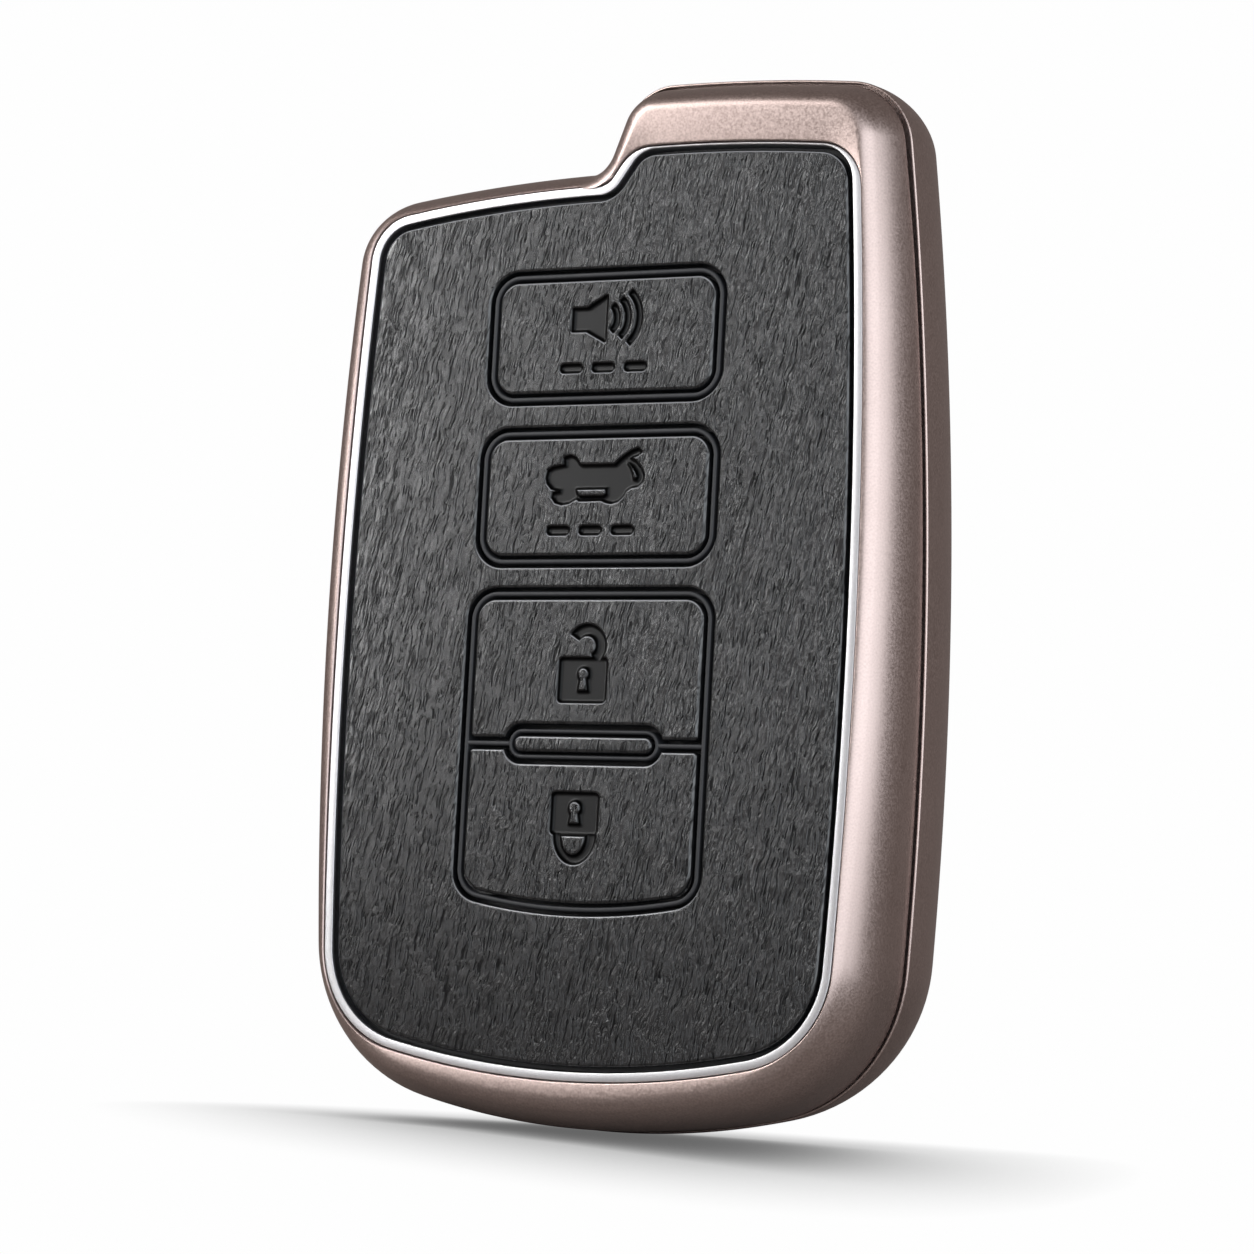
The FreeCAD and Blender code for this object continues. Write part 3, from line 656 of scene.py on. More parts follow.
@dataclass(frozen=True)
class GrainLeather(Finish):
    """Charcoal split leather embossed with a wood grain: fine slanting strokes that catch the light.

    Its cut edges are ironed smooth, and a painted highlight lays a pale colour on them where they face up.
    The symbols are pressed smooth and dull, with painted shade, a near-black colour and shine tint, along
    their walls. The gleam fields tint the shine: strong on the grain's ridges, weak in its cracks and in
    the symbols.
    """

    light: str = "#18191b"
    dark: str = "#030304"
    pressed: str = "#08090a"
    # Painted shade: near-black colour and shine tint laid along the symbols' walls.
    outline: str = "#010101"
    crack_gleam: str = "#626262"
    ridge_gleam: str = "#ffffff"
    pressed_gleam: str = "#9c9c9c"
    # Painted highlight: pale colour laid on the up-facing brow of the cut edges.
    painted_highlight: str = "#8c8d90"
    # The finest strokes are about a pixel wide in the photograph, so they are drawn a little coarser.
    stroke: Pair = (0.13, 1.7)
    streak: Pair = (0.5, 8.0)
    streak_share: float = 0.2
    grain_detail: float = 2.0
    grain_twist: float = 0.4
    grain_span: Pair = (0.34, 0.58)
    lean: float = -12.0
    sway: float = 3.0
    sway_detail: float = 3.0
    sway_reach: float = 0.9
    stroke_height: float = 0.032
    roughness: Pair = (0.3, 0.23)
    ironed: float = 0.22
    sunk: float = 0.42
    smooth_height: float = 0.5
    # How far the normal points across the sheet: a cut edge starts over the first span, and its brow,
    # the upper part of its round, where the painted highlight lies, ends over the second.
    edge_turn: Pair = (0.99, 0.94)
    edge_brow: Pair = (0.7, 0.85)
    # How far the normal points up, from where the painted highlight on an edge begins to where it is full.
    highlight_up: Pair = (0.1, 0.3)
    # Share of the press: the lip of a symbol ends over the first span, its floor starts over the second.
    press_lip: Pair = (0.2, 0.08)
    press_floor: Pair = (0.12, 0.4)

    def grain(self, tree: bpy.types.NodeTree, place: bpy.types.NodeSocket) -> bpy.types.Node:
        """Draws noise out along the leaning height and sways it sideways, as strokes and longer streaks.

        Args:
            tree: The material's node tree.
            place: The object's own coordinates.

        Returns:
            Share of the grain's height, 0 in a crack and 1 on a ridge.
        """
        sway = add(tree, "TexNoise", {"Vector": place, "Scale": per(self.sway), "Detail": self.sway_detail})
        centred = add(tree, "VectorMath", {0: sway.outputs["Color"], 1: NOISE_MIDDLE}, operation="SUBTRACT")
        shift = add(tree, "VectorMath", {0: centred, 1: (self.sway_reach * MM,) * 3}, operation="MULTIPLY")
        bent = add(tree, "VectorMath", {0: place, 1: shift}, operation="ADD")
        turned = add(tree, "Mapping", {"Vector": bent, "Rotation": (0.0, math.radians(self.lean), 0.0)})
        strokes, streaks = (
            add(tree, "TexNoise", {
                "Vector": add(tree, "Mapping", {
                    "Vector": turned, "Scale": (per(width), per(width), per(length))
                }),
                "Scale": 1.0, "Detail": self.grain_detail, "Distortion": self.grain_twist,
            })
            for width, length in (self.stroke, self.streak)
        )
        both = add(tree, "Mix", {"Factor": self.streak_share, "A": strokes, "B": streaks})
        low, high = self.grain_span
        return add(tree, "MapRange", {"Value": both, "From Min": low, "From Max": high})

    def surface(self, tree: bpy.types.NodeTree, place: bpy.types.NodeSocket) -> dict[str, Any]:
        """Lays the edges and the symbols over the grain, in colour, shine, roughness and relief.

        A point on a symbol's wall, at a press p, takes the outline colour as painted shade by the share
        4 p (1 - p).

        Args:
            tree: The material's node tree.
            place: The object's own coordinates.

        Returns:
            Inputs of the shader.
        """
        raised = self.grain(tree, place)
        pressed = add(tree, "Attribute", attribute_name=PRESSED).outputs["Fac"]
        facing = add(tree, "SeparateXYZ", {0: add(tree, "TexCoord").outputs["Normal"]})
        level = add(tree, "Math", {0: facing.outputs["Y"]}, operation="ABSOLUTE")
        edge, brow, upward, lip, floor = (
            add(tree, "MapRange", {"Value": value, "From Min": start, "From Max": end})
            for value, (start, end) in (
                (level, self.edge_turn), (level, self.edge_brow), (facing.outputs["Z"], self.highlight_up),
                (pressed, self.press_lip), (pressed, self.press_floor),
            )
        )
        # Painted highlight on the up-facing brow of the cut edges, kept off the symbols.
        painted_highlight = edge
        for share in (brow, lip, upward):
            painted_highlight = add(tree, "Math", {0: painted_highlight, 1: share}, operation="MULTIPLY")
        # Painted shade along the symbols' walls, strongest halfway down.
        above = add(tree, "Math", {0: 1.0, 1: pressed}, operation="SUBTRACT")
        wall = add(tree, "Math", {0: pressed, 1: above}, operation="MULTIPLY")
        painted_wall_shade = add(tree, "Math", {0: wall, 1: 4.0}, operation="MULTIPLY", use_clamp=True)
        inputs = {"Specular IOR Level": 1.0}
        for socket, (tint, *layers) in {
            "Base Color": (
                self.dark, (raised, self.light), (pressed, self.pressed), (painted_wall_shade, self.outline),
                (painted_highlight, self.painted_highlight),
            ),
            "Specular Tint": (
                self.crack_gleam, (raised, self.ridge_gleam), (floor, self.pressed_gleam),
                (painted_wall_shade, self.outline),
            ),
        }.items():
            for share, colour in layers:
                tint = add(tree, "Mix", {"Factor": share, "A": tint, "B": colour}, data_type="RGBA")
            inputs[socket] = tint
        inputs["Roughness"] = add(tree, "MapRange", {
            "Value": raised, "To Min": self.roughness[0], "To Max": self.roughness[1]
        })
        for share, rough in ((edge, self.ironed), (floor, self.sunk)):
            inputs["Roughness"] = add(tree, "Mix", {"Factor": share, "A": inputs["Roughness"], "B": rough})
        smooth = add(tree, "Math", {0: pressed, 1: edge}, operation="MAXIMUM")
        height = add(tree, "Mix", {"Factor": smooth, "A": raised, "B": self.smooth_height})
        inputs["Normal"] = add(tree, "Bump", {
            "Height": height, "Strength": 1.0, "Distance": self.stroke_height * MM
        })
        return inputs


@dataclass(frozen=True)
class Moulded(Finish):
    """A moulded or cast polymer: one colour with a faint mottle and a spark-eroded skin."""

    light: str
    dark: str
    roughness: Pair = (0.45, 0.6)
    mottle: float = 3.0
    mottle_detail: float = 3.0
    texture: float = 0.25
    texture_detail: float = 2.0
    texture_height: float = 0.012
    relief: float = 0.6

    def surface(self, tree: bpy.types.NodeTree, place: bpy.types.NodeSocket) -> dict[str, Any]:
        """Draws mottle in the colour, and texture in roughness and relief.

        Args:
            tree: The material's node tree.
            place: The object's own coordinates.

        Returns:
            Inputs of the shader.
        """
        # A real spark-eroded grain is finer than a pixel, so the texture is drawn coarser to show.
        mottle, texture = (
            add(tree, "TexNoise", {"Vector": place, "Scale": per(size), "Detail": detail})
            for size, detail in ((self.mottle, self.mottle_detail), (self.texture, self.texture_detail))
        )
        colour = add(tree, "Mix", {"Factor": mottle, "A": self.dark, "B": self.light}, data_type="RGBA")
        return {
            "Base Color": colour,
            "Roughness": add(tree, "MapRange", {
                "Value": texture, "To Min": self.roughness[0], "To Max": self.roughness[1]
            }),
            "Normal": add(tree, "Bump", {
                "Height": texture, "Strength": self.relief, "Distance": self.texture_height * MM
            }),
        }


# Die-cast zinc under satin plating: broad soft highlights with a fine sparkle.
PLATING = SatinPlating("satin_plated_zinc")
# Satin stainless steel: an even bright line.
STEEL = BrightSteel("satin_stainless_strip")
# Embossed split leather: fine strokes that catch the light on a charcoal ground.
LEATHER = GrainLeather("wood_grain_leather")
# Soft black rubber of the button mat: dull, with a faint sheen on its ridges.
RUBBER = Moulded("black_rubber_mat", "#2c2d30", "#232427")
# Glass-filled nylon trays: dark, slightly rough moulding.
TRAY = Moulded("black_nylon_tray", "#232426", "#191a1b", roughness=(0.4, 0.55))
# Acetal plungers: smooth, a little waxy.
PLUNGER = Moulded("acetal_plunger", "#1e1f20", "#161718", roughness=(0.28, 0.38), texture_height=0.004)
# Double-sided tape: thin amber film.
FILM = Moulded("adhesive_film", "#b9ae94", "#a89d84", roughness=(0.3, 0.42), texture_height=0.005)
# Cast PU foam: matt, with open cells that show as fine pits.
FOAM = Moulded(
    "polyurethane_foam", "#3b3b3c", "#2b2b2c", roughness=(0.85, 0.95), texture=0.3, texture_height=0.09
)
CAD_FINISHES = {
    "keypad_tray": TRAY, "front_retainer": TRAY, "rear_tray": TRAY,
    "front_adhesive": FILM, "rear_adhesive": FILM,
    "alarm_plunger": PLUNGER, "tailgate_plunger": PLUNGER,
    "unlock_plunger": PLUNGER, "lock_plunger": PLUNGER,
}


# Symbols


@dataclass(frozen=True)
class Plane:
    """Points of the keypad's face, which take signed distances to drawn shapes, below zero inside."""

    x: Array
    z: Array

    def disc(self, at: Pair, radius: float) -> Array:
        """Signed distance to a disc."""
        return np.hypot(self.x - at[0], self.z - at[1]) - radius

    def block(self, low: Pair, high: Pair, corner: float | Array) -> Array:
        """Signed distance to a rounded rectangle: outside its core by hypot, inside by the nearer side.

        Args:
            low: Its lower left corner.
            high: Its upper right corner.
            corner: Radius of its corners, or one for each point.

        Returns:
            The distance at each point.
        """
        half = [(b - a) / 2 - corner for a, b in zip(low, high)]
        across = np.abs(self.x - (low[0] + high[0]) / 2) - half[0]
        up = np.abs(self.z - (low[1] + high[1]) / 2) - half[1]
        outside = np.hypot(np.maximum(across, 0), np.maximum(up, 0))
        return outside + np.minimum(np.maximum(across, up), 0) - corner

    def stroke(self, path: Sequence[Pair], half: float) -> Array:
        """Signed distance to a round-ended stroke: from each point to the nearest place on its runs.

        Args:
            path: Ends of its straight runs.
            half: Half its width.

        Returns:
            The distance at each point.
        """
        found = np.full(self.x.shape, np.inf)
        for (ax, az), (bx, bz) in zip(path, path[1:]):
            run, x, z = (bx - ax, bz - az), self.x - ax, self.z - az
            share = np.clip((x * run[0] + z * run[1]) / (run[0] ** 2 + run[1] ** 2), 0, 1)
            found = np.minimum(found, np.hypot(x - share * run[0], z - share * run[1]))
        return found - half

    def arch(self, at: Pair, radius: float, half: float, middle: float, spread: float) -> Array:
        """Signed distance to a blunt-ended arc of a ring: the larger of those to the ring and to its ends.

        Args:
            at: Centre of the ring.
            radius: Its radius.
            half: Half its width.
            middle: Direction of the arc's middle in degrees.
            spread: Degrees that the arc reaches to each side.

        Returns:
            The distance at each point.
        """
        turn = np.angle(np.exp(1j * (np.arctan2(self.z - at[1], self.x - at[0]) - math.radians(middle))))
        ends = (np.abs(turn) - math.radians(spread)) * radius
        return np.maximum(np.abs(self.disc(at, radius)) - half, ends)

    def polygon(self, points: Sequence[Pair], corner: float = 0.0) -> Array:
        """Signed distance to a polygon: to the nearest edge, signed by even-odd crossings.

        Args:
            points: Its corners.
            corner: How far it is grown with rounded corners.

        Returns:
            The distance at each point.
        """
        nearest = np.full(self.x.shape, np.inf)
        inside = np.zeros(self.x.shape, bool)
        for (ax, az), (bx, bz) in zip(points, [*points[1:], points[0]]):
            nearest = np.minimum(nearest, self.stroke(((ax, az), (bx, bz)), 0.0))
            if az != bz:
                crossed = (az > self.z) != (bz > self.z)
                inside ^= crossed & (self.x < ax + (self.z - az) / (bz - az) * (bx - ax))
        return np.where(inside, -nearest, nearest) - corner

    def oval(self, at: Pair, radii: Pair) -> Array:
        """Signed distance to an ellipse, to first order: k (k - 1) over the slope of k.

        Args:
            at: Its centre.
            radii: Its half width and half height.

        Returns:
            The distance at each point.
        """
        u, v = (self.x - at[0]) / radii[0], (self.z - at[1]) / radii[1]
        size = np.hypot(u, v) + TINY
        return size * (size - 1) / (np.hypot(u / radii[0], v / radii[1]) + TINY)

    def keyhole(self, at: Pair, radius: float, drop: float) -> Array:
        """Signed distance to a keyhole: the smaller of those to a disc and to a flared slot.

        Args:
            at: Centre of the disc.
            radius: Its radius.
            drop: Length of the slot.

        Returns:
            The distance at each point.
        """
        x, z = at
        neck, flare, corner = 0.36 * radius, 0.78 * radius, 0.06
        slot = ((x - neck, z), (x + neck, z), (x + flare, z - drop), (x - flare, z - drop))
        return np.minimum(self.disc(at, radius), self.polygon(slot, corner))


class Symbol(Enum):
    """What each button shows, pressed into its leather, drawn in millimetres on the keypad's face."""

    ALARM = "alarm"
    TAILGATE = "tailgate"
    UNLOCK = "unlock"
    LOCK = "lock"

    def distance(self, plane: Plane) -> Array:
        """Signed distance to the pressed area of this symbol."""
        return getattr(self, f"_{self.value}")(plane)

    @staticmethod
    def _dashes(plane: Plane, middle: Pair) -> Array:
        """Draws three plain dashes below a symbol.

        Args:
            plane: The keypad's face.
            middle: Place of the middle dash.

        Returns:
            The distance at each point.
        """
        pitch, half_length, half = 2.75, 0.62, 0.3
        near = middle[0] + pitch * np.clip(np.round((plane.x - middle[0]) / pitch), -1, 1)
        return np.hypot(np.maximum(np.abs(plane.x - near) - half_length, 0), plane.z - middle[1]) - half

    @classmethod
    def _alarm(cls, plane: Plane) -> Array:
        """Draws a loudspeaker with three waves.

        Args:
            plane: The keypad's face.

        Returns:
            The distance at each point.
        """
        horn = plane.polygon((
            (-2.8, 61.93), (-1.58, 61.93), (0.0, 62.85), (0.0, 59.45), (-1.58, 60.3), (-2.8, 60.3)
        ), 0.06)
        waves = [
            plane.arch((middle, 61.15), radius, 0.2, 0.0, spread)
            for middle, radius, spread in ((-0.48, 1.43, 42.0), (-0.13, 2.03, 44.0), (0.2, 2.68, 46.0))
        ]
        return np.minimum.reduce([horn, *waves, cls._dashes(plane, (0.0, 57.4))])

    @classmethod
    def _tailgate(cls, plane: Plane) -> Array:
        """Draws a car seen from the side with its tailgate raised.

        Args:
            plane: The keypad's face.

        Returns:
            The distance at each point.
        """
        body = plane.polygon((
            (-4.35, 49.07), (-4.22, 49.59), (-3.8, 49.81), (-2.8, 49.95), (-2.87, 50.46), (-2.66, 50.61),
            (-2.34, 50.68), (-1.95, 50.51), (-1.6, 50.05), (-1.37, 49.93), (1.47, 49.92), (2.13, 50.48),
            (2.85, 50.94), (3.42, 51.12), (3.65, 50.88), (3.4, 50.69), (2.69, 50.45), (3.22, 50.18),
            (3.73, 49.6), (3.97, 49.12), (3.84, 48.61), (3.49, 48.33), (2.91, 48.24), (2.5, 47.96),
            (2.26, 47.54), (1.86, 47.22), (1.33, 47.08), (0.84, 47.18), (0.51, 47.33), (-1.42, 47.31),
            (-1.65, 47.5), (-1.91, 47.36), (-2.33, 47.13), (-2.92, 47.04), (-3.47, 47.19), (-3.77, 47.58),
            (-3.68, 47.86), (-3.19, 47.95), (-3.15, 48.1), (-3.86, 48.25), (-4.22, 48.64),
        ), 0.03)
        sill = plane.polygon((
            (-1.78, 48.17), (0.83, 48.18), (0.86, 47.73), (0.63, 47.57), (-1.42, 47.57), (-1.7, 47.88)
        ))
        lamp = plane.polygon((
            (2.53, 50.09), (2.91, 49.88), (3.28, 49.44), (3.47, 49.06), (3.32, 48.79), (3.08, 48.85),
            (2.98, 49.28), (2.8, 49.69),
        ))
        car = np.maximum(body, -np.minimum(sill, lamp))
        return np.minimum(car, cls._dashes(plane, (-0.35, 45.0)))

    @staticmethod
    def _unlock(plane: Plane) -> Array:
        """Draws an open padlock.

        Args:
            plane: The keypad's face.

        Returns:
            The distance at each point.
        """
        body = plane.block((-2.3, 32.02), (1.74, 35.33), 0.32)
        bow = plane.arch((-0.05, 36.26), 1.2, 0.39, 45.0, 100.0)
        return np.maximum(np.minimum(body, bow), -plane.keyhole((-0.25, 34.14), 0.5, 1.25))

    @staticmethod
    def _lock(plane: Plane) -> Array:
        """Draws a closed padlock with its bow below the body.

        Args:
            plane: The keypad's face.

        Returns:
            The distance at each point.
        """
        body = plane.block((-2.3, 22.1), (1.64, 25.2), 0.36)
        bow = np.maximum(plane.oval((-0.22, 22.1), (1.75, 2.2)), plane.z - 22.2)
        eye = np.maximum(plane.oval((-0.34, 22.0), (1.0, 1.42)), plane.z - 21.95) - 0.08
        hollow = np.minimum(eye, plane.keyhole((-0.35, 24.06), 0.55, 1.15))
        return np.maximum(np.minimum(body, bow), -hollow)


# Sub-assemblies


@dataclass(frozen=True)
class LeatherEdge:
    """Cut edge of a leather sheet: two flat rows, a quarter round, then the wall."""

    away: float  # from the outline to the edge
    turn: int  # 1 where the leather lies inside the outline, -1 where it lies outside
    top: float
    bottom: float
    radius: float
    steps: ClassVar[int] = 6
    flat_rows: ClassVar[Pair] = (2.4, 1.5)

    def build(self, skin: Skin, loop: Loop) -> tuple[Array, Array]:
        """Carries the edge round a loop.

        Counted in radii, the rows lie at flat_rows and then at 1 - sin a from the wall, and the round
        falls by 1 - cos a.

        Args:
            skin: The skin that takes the edge.
            loop: Outline that the edge follows.

        Returns:
            The outline where the flat face starts, and that of the underside.
        """
        fall = math.copysign(self.radius, self.bottom - self.top)
        inset, depth = quarter(1.0, self.steps)
        reach = np.concatenate([self.flat_rows, inset])
        drop = np.concatenate([np.zeros(len(self.flat_rows)), depth])
        rows = [
            (loop.inset(self.turn * (self.away + self.radius * r)), self.top + fall * d)
            for r, d in zip(reach, drop)
        ]
        rows.append((loop.inset(self.turn * self.away), self.bottom))
        skin.grid(section(rows))
        return rows[0][0], rows[-1][0]


@dataclass(frozen=True)
class FrontShell:
    """Front half: cast frame with a broad rounded edge, bright strip and leather panel."""

    wall: float = 1.5
    bezel: float = 2.2
    edge_width: float = 2.6
    edge_depth: float = 5.0
    edge_radius: float = 1.5
    rim_cut: float = 0.06
    rim_round: float = 0.05
    mouth_round: float = 0.1
    arc_steps: int = 15
    wall_steps: int = 4
    round_steps: int = 4
    ring_inner: float = 0.175
    ring_outer: float = 0.825
    ring_head_drop: float = 0.49
    ring_top: float = 0.18
    ring_crown: float = 0.02
    ring_round: float = 0.04
    ring_thick: float = 0.3
    ring_leg: float = 0.1
    ring_steps: int = 9
    fit_gap: float = 0.1
    leather_top: float = 0.32
    leather_bottom: float = 1.12
    leather_edge: float = 0.24
    leather_round: float = 0.22
    groove: float = 0.85

    def frame(self) -> bpy.types.Object:
        """Carries a tube round the case: rim, wall, rounded edge, face, mouth, underside, inner wall.

        The rounded edge is clipped by the leaning rim, depth = min(edge, rim), and by the mouth,
        inset = min(edge, reach of the mouth).

        Returns:
            The cast frame.
        """
        case = CASE.loop()
        mouth = PANEL.low_head(self.ring_head_drop).loop()
        opening = -(self.ring_outer + self.fit_gap)
        edge_inset, edge_depth = swept_edge(
            self.edge_width, self.edge_depth, self.edge_radius, self.arc_steps
        )
        rim = SEAM.front_depth(case.points[:, 1]) - self.rim_cut
        top = rim - self.rim_round
        walls = np.linspace(top, np.minimum(top, self.edge_depth), self.wall_steps)
        depth = np.vstack([walls, np.minimum(edge_depth[::-1, None], top)])
        inset = np.interp(depth, edge_depth, edge_inset)
        lip = mouth.inset(opening - self.mouth_round)
        reach = np.sum((case.points - lip) * case.normals, axis=1)
        inset = np.minimum(inset, reach)
        depth = np.where(inset < reach, depth, np.interp(inset, edge_inset[::-1], edge_depth[::-1]))
        face = depth[-1]
        cut_inset, cut_depth = quarter(self.mouth_round, self.round_steps)
        rim_inset, rim_depth = quarter(self.rim_round, self.round_steps)
        at_rim = np.interp(rim, edge_depth, edge_inset)
        rows = [(case.inset(at_rim + i), rim - d) for i, d in zip(rim_depth[::-1], rim_inset[::-1])][:-1]
        rows += [(case.inset(i), d) for i, d in zip(inset, depth)]
        rows += [(mouth.inset(opening - i), face + d) for i, d in zip(cut_inset, cut_depth)]
        rows += [(mouth.inset(opening), self.bezel), (case.inset(self.wall), self.bezel)]
        rows += [(case.inset(self.wall), rim)]
        skin = Skin(Half.FRONT).grid(section(rows), tube=True)
        return skin.piece("front_frame_cast", PLATING, "front_frame", "shell_metal")

    def strip(self) -> bpy.types.Object:
        """Carries a low crown between two softened edges round the panel, over a thin leg at its outside.

        Between the inner and the outer edge, at share s, the depth is the top plus crown (2 s - 1)^2.

        Returns:
            The bright strip.
        """
        inner, outer = PANEL.loop(), PANEL.low_head(self.ring_head_drop).loop()
        inset, depth = quarter(self.ring_round, self.round_steps)
        side, under = self.ring_top + self.ring_crown, self.ring_top + self.ring_thick
        low = inner.inset(-self.ring_inner - self.ring_round)
        high = outer.inset(self.ring_round - self.ring_outer)
        leg = outer.inset(self.ring_leg - self.ring_outer)
        rows = [(leg, self.bezel), (leg, under), (inner.inset(-self.ring_inner), under)]
        rows += [(inner.inset(-self.ring_inner - i), side + d) for i, d in zip(inset[:0:-1], depth[:0:-1])]
        share = np.linspace(0, 1, self.ring_steps)
        crown = self.ring_top + self.ring_crown * (2 * share - 1) ** 2
        rows += [(low + (high - low) * s, d) for s, d in zip(share, crown)]
        rows += [(outer.inset(i - self.ring_outer), side + d) for i, d in zip(inset[1:], depth[1:])]
        rows += [(outer.inset(-self.ring_outer), self.bezel)]
        skin = Skin(Half.FRONT).grid(section(rows), tube=True)
        return skin.piece("trim_strip", STEEL, "trim_ring", "trim_metal")

    def panel(self, holes: Sequence[Loop]) -> bpy.types.Object:
        """Spans a flat sheet between rounded cut edges at its outline and at the button openings.

        Args:
            holes: Outlines of the openings.

        Returns:
            The leather panel.
        """
        skin = Skin(Half.FRONT)
        sheet = (self.leather_top, self.leather_bottom, self.leather_round)
        outside, inside = LeatherEdge(self.leather_edge, 1, *sheet), LeatherEdge(self.groove, -1, *sheet)
        loops = [outside.build(skin, PANEL.loop()), *[inside.build(skin, hole) for hole in holes]]
        tops, bottoms = zip(*loops)
        skin.flat(tops, self.leather_top).flat(bottoms, self.leather_bottom)
        return skin.piece("front_leather_panel", LEATHER, "front_leather", "leather")


@dataclass(frozen=True)
class FingerBar:
    """Leather-faced bar between the two lock buttons, which a finger feels for."""

    height: float = 28.845
    half_length: float = 5.9
    half_height: float = 0.62
    round: float = 0.28
    round_steps: int = 7
    end_slack: float = 1e-3  # keeps a straight run between the bar's round corners

    def outline(self) -> Loop:
        """The bar's round-ended outline."""
        low, high = self.height - self.half_height, self.height + self.half_height
        return PadOutline(low, high, self.half_length, self.half_height - self.end_slack).loop()

    def build(self) -> bpy.types.Object:
        """Raises a closed bar with a quarter round along its top edge, as deep as its CAD node.

        Returns:
            The bar.
        """
        low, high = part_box("finger_bar")
        top, bottom = low.y / MM - SEAM.face, high.y / MM - SEAM.face
        skin = Skin(Half.FRONT).bar(self.outline(), top, bottom, self.round, self.round_steps)
        return skin.piece("finger_bar_face", LEATHER, "finger_bar", "leather", crease=SOFT_CREASE)


@dataclass(frozen=True)
class LeatherButton:
    """One button: a leather cap whose symbol is pressed in, over its plunger."""

    symbol: Symbol
    low: float
    high: float
    half_width: float
    low_corner: float = 1.6
    high_corner: float = 1.6
    bow_radius: float = FAR
    bar_edge: int = 0
    top: float = 0.32
    bottom: float = 1.12
    round: float = 0.28
    press: float = 0.32
    press_wall: float = 0.18
    cell: float = 0.075
    crowd: float = 0.5
    sharp: float = 1e-6  # corner radius that stands for no corner
    inside: float = 0.999  # share of the width over which the bow's rise is asked for

    def outline(self) -> PadOutline:
        """The cap's outline as one rounded rectangle."""
        return PadOutline(self.low, self.high, self.half_width, self.low_corner, self.bow_radius)

    def rise(self, x: Array, corner: float, bow: float) -> Array:
        """Height of an edge above its middle: a bow of wide radius, then the tangent corner arc.

        Args:
            x: Places across the cap.
            corner: Radius of the corner.
            bow: Radius of the bow.

        Returns:
            The height at each place.
        """
        hub = self.half_width - corner
        start = bow - math.sqrt((bow - corner) ** 2 - hub**2)
        rounded = start - np.sqrt(np.maximum(corner**2 - np.maximum(np.abs(x) - hub, 0) ** 2, 0))
        bowed = bow - np.sqrt(bow**2 - x**2)
        return np.where(np.abs(x) < hub * bow / (bow - corner), bowed, rounded)

    def spread(self, count: int) -> Array:
        """Numbers from -1 to 1 that crowd towards both ends: (1 - k) s + k sin(s pi / 2)."""
        share = np.linspace(-1, 1, count)
        return (1 - self.crowd) * share + self.crowd * np.sin(share * math.pi / 2)

    def pressed(self, x: Array, z: Array) -> Array:
        """Share of the press depth: a smooth step 3 s^2 - 2 s^3 across the symbol's outline."""
        step = np.clip(0.5 - self.symbol.distance(Plane(x, z)) / (2 * self.press_wall), 0, 1)
        return step * step * (3 - 2 * step)

    def build(self, bar: FingerBar, groove: float) -> bpy.types.Object:
        """Builds the cap as a height field.

        Depth is the flat face, plus the quarter round of the edge where the distance to the outline is
        below its radius, plus a smooth step down where the symbol's signed distance falls below zero.

        Args:
            bar: The finger bar that the cap leaves room for.
            groove: Gap round the bar.

        Returns:
            The cap.
        """
        columns = int(2 * self.half_width / self.cell)
        lines = int((self.high - self.low) / self.cell)
        x = np.broadcast_to(self.half_width * self.spread(columns), (lines, columns))
        foot = self.low + self.rise(x, self.low_corner, self.bow_radius)
        head = self.high - self.rise(x, self.high_corner, FAR)
        hub, reach = bar.half_length - bar.half_height, bar.half_height + groove
        beside = reach**2 - np.maximum(np.abs(x) - hub, 0) ** 2
        room = np.sqrt(np.maximum(beside, 0))
        if self.bar_edge < 0:
            foot = np.maximum(foot, np.where(beside > 0, bar.height + room, foot))
        if self.bar_edge > 0:
            head = np.minimum(head, np.where(beside > 0, bar.height - room, head))
        share = (self.spread(lines)[:, None] + 1) / 2
        z = foot + (head - foot) * share
        straight = z - self.rise(x * self.inside, self.sharp, self.bow_radius) * (1 - share)
        corner = np.where(z < (self.low + self.high) / 2, self.low_corner, self.high_corner)
        away = Plane(x, straight).block((-self.half_width, self.low), (self.half_width, self.high), corner)
        if self.bar_edge:
            away = np.maximum(away, -Plane(x, z).stroke(((-hub, bar.height), (hub, bar.height)), reach))
        lack = np.clip(self.round + away, 0, self.round)
        edge = self.round - np.sqrt(self.round**2 - lack**2)
        surface = np.stack([x, self.top + edge + self.press * self.pressed(x, z), z], -1)
        rim = np.concatenate([surface[0], surface[1:, -1], surface[-1, -2::-1], surface[-2:0:-1, 0]])
        base = rim * (1, 0, 1) + np.array([0, self.bottom, 0])
        skin = Skin(Half.FRONT).grid(surface, ring=False).grid(np.stack([rim, base]))
        skin.flat([base[:, [0, 2]]], self.bottom)
        name = self.symbol.value
        cap = skin.piece(
            f"{name}_leather_cap", LEATHER, f"{name}_cap", "leather", f"{name}_button", SOFT_CREASE
        )
        self.mark(cap.data)
        return cap

    def mark(self, mesh: bpy.types.Mesh) -> None:
        """Notes on each point of the mesh how far the symbol presses it, for the leather's finish.

        Args:
            mesh: The cap's mesh.
        """
        found = np.empty(3 * len(mesh.vertices), np.float32)
        mesh.vertices.foreach_get("co", found)
        place = found.reshape(-1, 3) / MM
        share = mesh.attributes.new(PRESSED, "FLOAT", "POINT")
        share.data.foreach_set("value", self.pressed(place[:, 0], place[:, 2]).astype(np.float32))


